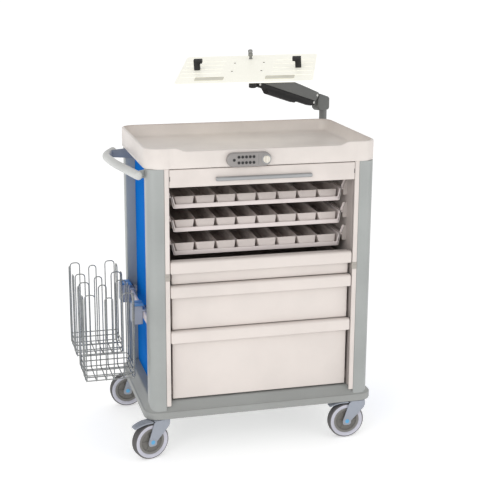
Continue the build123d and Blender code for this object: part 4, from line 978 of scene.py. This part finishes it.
def makeCaster(corner, sizes):
    body, wheelBody = f"{corner}_caster", f"{corner}_wheel"
    swivel, axle = (joints[f"{corner}_{motion}"][0] for motion in ("swivel", "roll"))
    trail = np.linalg.norm((axle - swivel)[:2])
    along = unit((axle - swivel) * np.array([1, 1, 0]))
    name = corner.split("_")[0] + corner.split("_")[1].capitalize()
    across = np.cross(along, upWay)
    ground = swivel * np.array([1, 1, 0])
    top = corners("base_moulding")[0][2] - 0.0004
    crownLow, radius = top - sizes["crown"], axle[2]
    half = sizes["inside"] / 2 + sizes["plate"]
    bend = np.linspace(0, -np.pi, 13)
    square = [np.sign(v) * np.abs(v) ** sizes["footPower"] for v in (np.cos(bend), np.sin(bend))]
    foot = [(trail + sizes["leg"] * x, radius + sizes["leg"] * z) for x, z in zip(*square)]
    outline = [(-0.024, top), (0.022, top), (0.029, top - 0.004), (0.033, crownLow - 0.003), *foot,
               (-0.022, crownLow - 0.018), (-0.026, crownLow - 0.008), (-0.026, top - 0.003)]
    legs = [prismShell(outline, ground + across * s * (half - sizes["plate"] / 2), along, upWay,
                       -sizes["plate"] / 2, sizes["plate"] / 2) for s in (-1, 1)]
    saddle = plateShell(0.027, half - 0.0005, 0.010, sizes["crown"], 0.0025, ground + upWay * crownLow, along,
                        np.cross(upWay, along))
    dome = turnedShell([(0.020, crownLow - 0.004), (0.022, crownLow - 0.001), (0.022, top), (0.011, top),
                        (0.011, top + 0.012)],
                       ground, upWay, 32)
    addPiece(f"{name}CasterFork", joined(*legs, saddle, dome), "casterPlastic", body,
             [f"{corner}_caster_fork"], bevel=0.0012)
    bolts, caps = [], []
    for s in (-1, 1):
        out = across * s
        seat = axle + out * half
        caps.append(turnedShell([(sizes["cap"], -0.001), (sizes["cap"], 0.0018),
                                 (sizes["cap"] - 0.0010, sizes["capProud"] - 0.0003),
                                 (0.002, sizes["capProud"] - 0.0002)], seat, out, 28))
        bolts.append(turnedShell([(0.0115, -0.001), (0.0115, 0.0008), (0.0105, 0.0014), (0.0085, 0.0014)],
                                 seat, out, 28))
    bolts.append(turnedShell([(0.006, -half), (0.006, half)], axle, across, 20))
    addPiece(f"{name}AxleCaps", joined(*caps), "skyBlue", body)
    addPiece(f"{name}AxleSeats", joined(*bolts), "casterPlastic", body)
    hub, wide = sizes["hub"], sizes["hubHalf"]
    side = [(sizes["bore"], wide + 0.001), (sizes["bossOut"], wide + 0.001),
            (sizes["bossOut"] + 0.001, wide - 0.0035), (0.034, wide - 0.0035), (0.037, wide), (hub, wide)]
    profile = side + [(x, -y) for x, y in side[::-1]]
    wheel = turnedShell(profile, axle, across, 64, closed=True)
    spokes = []
    for angle in np.linspace(0, 2 * np.pi, 6, endpoint=False):
        ray = along * np.cos(angle) + upWay * np.sin(angle)
        side = np.cross(across, ray)
        spokes.append(plateShell(0.012, 0.0022, 0.001, 2 * wide - 0.0032, 0.0008,
                                 axle + ray * 0.024 - np.cross(ray, side) * (wide - 0.0016), ray, side, 3))
    addPiece(f"{name}Hub", joined(wheel, *spokes), "hubPlastic", wheelBody, [f"{corner}_caster_wheel"])
    tyreHalf, tread, outer = sizes["tyreHalf"], sizes["tread"], sizes["tyre"]
    side = [(hub, wide), (hub + 0.0012, tyreHalf - 0.0010), (hub + 0.003, tyreHalf - 0.0002),
            (tread - 0.004, tyreHalf), (tread, tyreHalf - 0.0008)]
    profile = side + [(x, -y) for x, y in side[::-1]]
    addPiece(f"{name}Tyre", turnedShell(profile, axle, across, 64, closed=True), "tyreRubber", wheelBody,
             [f"{corner}_caster_tyre"])
    side = [(tread - 0.0012, tyreHalf - 0.0010), (tread + 0.0012, tyreHalf - 0.0004),
            (tread + 0.0030, tyreHalf - 0.0018),
            (outer - 0.0004, tyreHalf - 0.0045), (outer, tyreHalf - 0.0065), (outer, 0.0022),
            (outer - 0.0006, 0.0012)]
    profile = side + [(x, -y) for x, y in side[::-1]]
    addPiece(f"{name}Tread", turnedShell(profile, axle, across, 72, closed=True), "treadRubber", wheelBody)
    if corner.startswith("front"):
        hinge = joints[f"{corner}_brake_press"][0]
        share = np.linspace(0, 1, 14)
        reach = sizes["pedalLength"] * share
        drop = 0.013 * np.clip((share - 0.3) / 0.7, 0, 1) ** 1.7
        halfWide = sizes["pedalHalf"] * (1 - 0.22 * share ** 2) * np.where(share == 1, 0.86, 1)
        thick = np.where((share == 0) | (share == 1), 0.0012, 0.0019)
        rings = [laid(roundedLoop(w, t, t * 0.9, 4), hinge + along * s - upWay * d, across, upWay)
                 for s, d, w, t in zip(reach, drop, halfWide, thick)]
        ridge = [plateShell(0.0012, 0.013 - 0.002 * k, 0.0008, 0.0012, 0.0004,
                            hinge + along * (0.030 + 0.009 * k) + upWay * (0.0016 - 0.0016 * k ** 1.4), along,
                            np.cross(upWay, along), 3) for k in range(4)]
        addPiece(f"{name}BrakePedal", joined(loftShell(rings), *ridge), "casterPlastic", f"{corner}_brake",
                 [f"{corner}_brake_pedal"])


for corner in ("front_left", "front_right", "rear_left", "rear_right"):
    makeCaster(corner, casterSizes)
print("casters made")

# ---- Support arm ----

armSizes = {
    "elbow": [(-0.018, 0.006), (-0.012, 0.0), (0.034, 0.0), (0.046, 0.010), (0.046, 0.040), (0.040, 0.056),
              (0.036, 0.063), (-0.012, 0.048), (-0.018, 0.042)],
    "ear": [(0.030, 0.014), (0.064, 0.024), (0.075, 0.031), (0.075, 0.037), (0.062, 0.062), (0.054, 0.066),
            (0.038, 0.050), (0.030, 0.050)],
    "cover": [(-0.006, -0.009), (-0.010, 0.003), (-0.005, 0.011), (0.060, 0.015), (0.110, 0.0172),
              (0.157, 0.0185),
              (0.205, 0.0182), (0.250, 0.017), (0.307, 0.012), (0.313, 0.003), (0.311, -0.009),
              (0.290, -0.022), (0.004, -0.022)],
    "roof": [(-0.0065, 0.0085), (-0.005, 0.011), (0.060, 0.015), (0.110, 0.0172), (0.157, 0.0185),
             (0.205, 0.0182),
             (0.250, 0.017), (0.307, 0.012), (0.312, 0.003), (0.308, 0.003), (0.304, 0.0095), (0.250, 0.0135),
             (0.205, 0.0147), (0.157, 0.015), (0.110, 0.0137), (0.060, 0.0115), (-0.0055, 0.0079)],
    "link": [(-0.009, 0.0), (-0.006, 0.008), (0.307, 0.008), (0.310, 0.0), (0.305, -0.009), (0.266, -0.009),
             (0.248, -0.023), (0.104, -0.023), (0.092, -0.015), (0.014, -0.015), (-0.006, -0.009)],
    "webUpper": [(-0.007, -0.003), (-0.003, 0.006), (0.003, 0.007), (0.014, -0.008)],
    "webLower": [(-0.004, -0.008), (-0.008, 0.0)], "webDrop": 0.004, "webNeck": 0.009,
    "coverHalf": 0.017, "coverSkin": 0.0025, "linkHalf": 0.0125, "earHalf": 0.007, "pin": 0.0048,
    "mast": 0.014, "boss": 0.013, "bracketEar": 0.022,
}


def makeArm(sizes):
    mast = joints["mast_swivel"][0]
    upper, normal = joints["arm_lift"]
    lower = joints["link_swing"][0]
    farUpper = joints["head_level"][0]
    farLower = lower + farUpper - upper
    along = unit(np.array([-normal[1], normal[0], 0]))
    elbowLow = mast[2]
    column = mast * np.array([1, 1, 0])

    bracketLow, bracketHigh = corners("mast_bracket")
    plate = blockShell((bracketLow[0], bracketLow[1], bracketLow[2]),
                       (bracketHigh[0] - 0.016, bracketLow[1] + 0.006,
                        bracketHigh[2]), 0.002)
    ears = []
    for z in (bracketLow[2], bracketHigh[2] - sizes["bracketEar"]):
        ears.append(turnedShell([(0.0145, z), (0.0205, z), (0.022, z + 0.0015), (0.022, z + 0.0205),
                                 (0.0205, z + 0.022), (0.0145, z + 0.022)], column, upWay, 40, closed=True))
        ears.append(blockShell((mast[0] - 0.021, bracketLow[1] + 0.003, z + 0.0005),
                               (mast[0] + 0.021, mast[1] - 0.015, z + 0.0215), 0.002))
    addPiece("mastBracket", joined(plate, *ears), "paleBracket", "root", ["mast_bracket"])
    rodLow = corners("arm_elbow")[0][2]
    r = sizes["mast"]
    rod = turnedShell([(r - 0.0015, rodLow), (r, rodLow + 0.0015), (r, elbowLow + 0.003)], column, upWay, 40)
    collarLow = bracketHigh[2] + 0.0003
    collar = turnedShell([(r + 0.001, collarLow), (r + 0.0045, collarLow), (r + 0.006, collarLow + 0.0015),
                          (r + 0.006, collarLow + 0.0065), (r + 0.0045, collarLow + 0.008),
                          (r - 0.001, collarLow + 0.008),
                          (r - 0.001, collarLow)], column, upWay, 40, closed=True)
    block = prismShell(sizes["elbow"], column + upWay * elbowLow, along, upWay, -sizes["coverHalf"],
                       sizes["coverHalf"])
    ear = prismShell(sizes["ear"], column + upWay * elbowLow, along, upWay, -sizes["earHalf"],
                     sizes["earHalf"])
    addPiece("armElbow", joined(block, ear), "armGrey", "arm_elbow", ["arm_elbow"], bevel=0.004)
    addPiece("armMast", joined(rod, collar), "armGrey", "arm_elbow")

    reach = farUpper - upper
    slope = unit(reach)
    rise = np.cross(normal, slope)
    if rise[2] < 0:
        rise = -rise
    skin, half = sizes["coverSkin"], sizes["coverHalf"]
    cheeks = [prismShell(sizes["cover"], upper + normal * s * (half - skin / 2), slope, rise, -skin / 2,
                         skin / 2)
              for s in (-1, 1)]
    top = prismShell(sizes["roof"], upper, slope, rise, -half + skin * 0.5, half - skin * 0.5)
    addPiece("armCover", joined(*cheeks, top), "armGrey", "arm_cover", ["arm_cover"],
             bevel=0.0014)
    link = prismShell(sizes["link"], lower, slope, rise, -sizes["linkHalf"], sizes["linkHalf"])
    addPiece("armLink", link, "armBlack", "arm_link", ["arm_link"], bevel=0.0022)

    screws, p = [], sizes["pin"]
    for place, reachOut, body in ((upper, half, "arm_elbow"), (lower, sizes["linkHalf"], "arm_elbow"),
                                  (farUpper, half, "arm_head"), (farLower, sizes["linkHalf"], "arm_head")):
        for s in (-1, 1):
            profile = [(p, -0.002), (p, 0.0006), (p - 0.0008, 0.0012), (p * 0.5, 0.0013), (p * 0.42, 0.0005),
                       (0.0004, 0.0005)]
            screws.append((body, turnedShell(profile, place + normal * s * reachOut, normal * s, 20)))
    for body, name in (("arm_elbow", "elbowScrews"), ("arm_head", "headScrews")):
        addPiece(name, joined(*[shell for owner, shell in screws if owner == body]), "steelScrew", body)

    headLow = corners("arm_head")[0]
    swivel = joints["tray_swivel"][0]
    swivelAhead = float((swivel - column) @ along)
    upperS, lowerS = float((farUpper - column) @ along), float((farLower - column) @ along)
    neck = swivelAhead - sizes["webNeck"]
    outline = [*[(upperS + x, farUpper[2] + z) for x, z in sizes["webUpper"]],
               (neck, swivel[2] - sizes["webDrop"]),
               (neck, headLow[2] + 0.001), *[(lowerS + x, farLower[2] + z) for x, z in sizes["webLower"]]]
    web = prismShell(outline, column, along, upWay, -sizes["earHalf"], sizes["earHalf"])
    addPiece("armHeadWeb", web, "armBlack", "arm_head", ["arm_head"], bevel=0.002)
    b = sizes["boss"]
    centre = swivel * np.array([1, 1, 0])
    base = headLow[2]
    boss = turnedShell([(b - 0.004, base), (b - 0.001, base + 0.0012), (b, base + 0.004),
                        (b, swivel[2] - 0.002),
                        (b - 0.001, swivel[2] - 0.0003), (b - 0.004, swivel[2])], centre, upWay, 44)
    addPiece("armHeadBoss", boss, "armBlack", "arm_head")


makeArm(armSizes)
print("arm made")

# ---- Laptop tray ----

shelfSizes = {"boss": 0.013, "ear": 0.009, "earHalf": 0.015, "plateTop": 0.022, "ahead": -0.023,
              "side": -0.014, "depth": 0.325, "padHalf": (0.0485, 0.018), "padX": 0.118, "padInset": 0.047,
              "padThick": 0.0016, "clipX": 0.173, "clipHigh": 0.036, "clipHalf": 0.010, "clipArm": 0.009,
              "clipArmHigh": 0.013, "screwPattern": 0.050, "patternAhead": 0.016, "studRadius": 0.008,
              "studHigh": 0.033}


def makeShelf(sizes):
    pivot, across = joints["tray_tilt"]
    knobAt, up = joints["tray_knob_turn"]
    tiltAxis = across
    back = unit(np.cross(up, tiltAxis))
    across = np.cross(back, up)
    head = joints["tray_swivel"][0]
    low = corners("tray_bracket")[0][2]
    b = sizes["boss"]
    centre = head * np.array([1, 1, 0])
    boss = turnedShell([(b - 0.001, low), (b, low + 0.001), (b, low + 0.0045), (b - 0.0015, low + 0.006),
                        (0.004, low + 0.006)],
                       centre, upWay, 44)
    e, levelBack = sizes["ear"], np.cross(upWay, tiltAxis)
    bend = np.linspace(0, np.pi, 13)
    outline = [(-e, low + 0.001), (e, low + 0.001)] + [(e * np.cos(t), pivot[2] + e * np.sin(t))
                                                       for t in bend]
    block = prismShell(outline, centre, levelBack, upWay, -sizes["earHalf"], sizes["earHalf"])
    addPiece("trayBracket", joined(boss, block), "armBlack", "tray_bracket", ["tray_bracket"],
             bevel=0.0012)
    ends = [turnedShell([(0.0055, 0), (0.0055, 0.002), (0.0045, 0.003), (0.001, 0.003)],
                        pivot + tiltAxis * s * 0.0185, tiltAxis * s, 20) for s in (-1, 1)]
    addPiece("trayHingeScrews", joined(*ends), "steelScrew", "tray_bracket")
    coat("trayIvory", "laptop_tray")
    middle = pivot + up * sizes["plateTop"] + back * sizes["ahead"] + across * sizes["side"]
    pads = [plateShell(*sizes["padHalf"], 0.004, sizes["padThick"], 0.0007,
                       middle + across * s * sizes["padX"] - back * (sizes["depth"] / 2 - sizes["padInset"]),
                       across, back)
            for s in (-1, 1)]
    addPiece("trayPads", joined(*pads), "padIvory", "laptop_tray")
    c, tall = sizes["clipHalf"], sizes["clipHigh"]
    clips = []
    for s in (-1, 1):
        root = middle + across * s * sizes["clipX"]
        outline = np.array([(-c, 0), (c, 0), (c, tall), (-c - sizes["clipArm"], tall),
                            (-c - sizes["clipArm"], tall - sizes["clipArmHigh"]),
                            (-c, tall - sizes["clipArmHigh"] - 0.001)])
        clips.append(prismShell(outline * np.array([s, 1]), root, across, up, -c, c))
    addPiece("trayClips", joined(*clips), "armBlack", "laptop_tray", ["tray_clips"], bevel=0.0015)
    spread = sizes["screwPattern"]
    dots = [turnedShell([(0.0034, -0.0005), (0.0034, 0.0008), (0.0026, 0.0014), (0.0012, 0.0014),
                         (0.0010, 0.0008)],
                        middle + across * x * spread + back * (sizes["patternAhead"] + y * spread), up, 18)
            for x in (-1, 1) for y in (-1, 1)]
    addPiece("trayScrews", joined(*dots), "studSteel", "laptop_tray")
    r, high = sizes["studRadius"], sizes["studHigh"]
    profile = [(r * 0.75, 0), (r * 0.8, 0.003), (r * 0.55, 0.005), (r * 0.55, 0.008), (r * 0.9, 0.010),
               (r, 0.012),
               (r, high * 0.6), (r * 0.86, high * 0.63), (r * 0.86, high * 0.68), (r, high * 0.71),
               (r, high - 0.003), (r * 0.8, high - 0.0006), (r * 0.4, high)]
    addPiece("trayStud", turnedShell(profile, knobAt, up, 28), "studSteel", "tray_knob",
             ["tray_knob"])


makeShelf(shelfSizes)
print("laptop tray made")
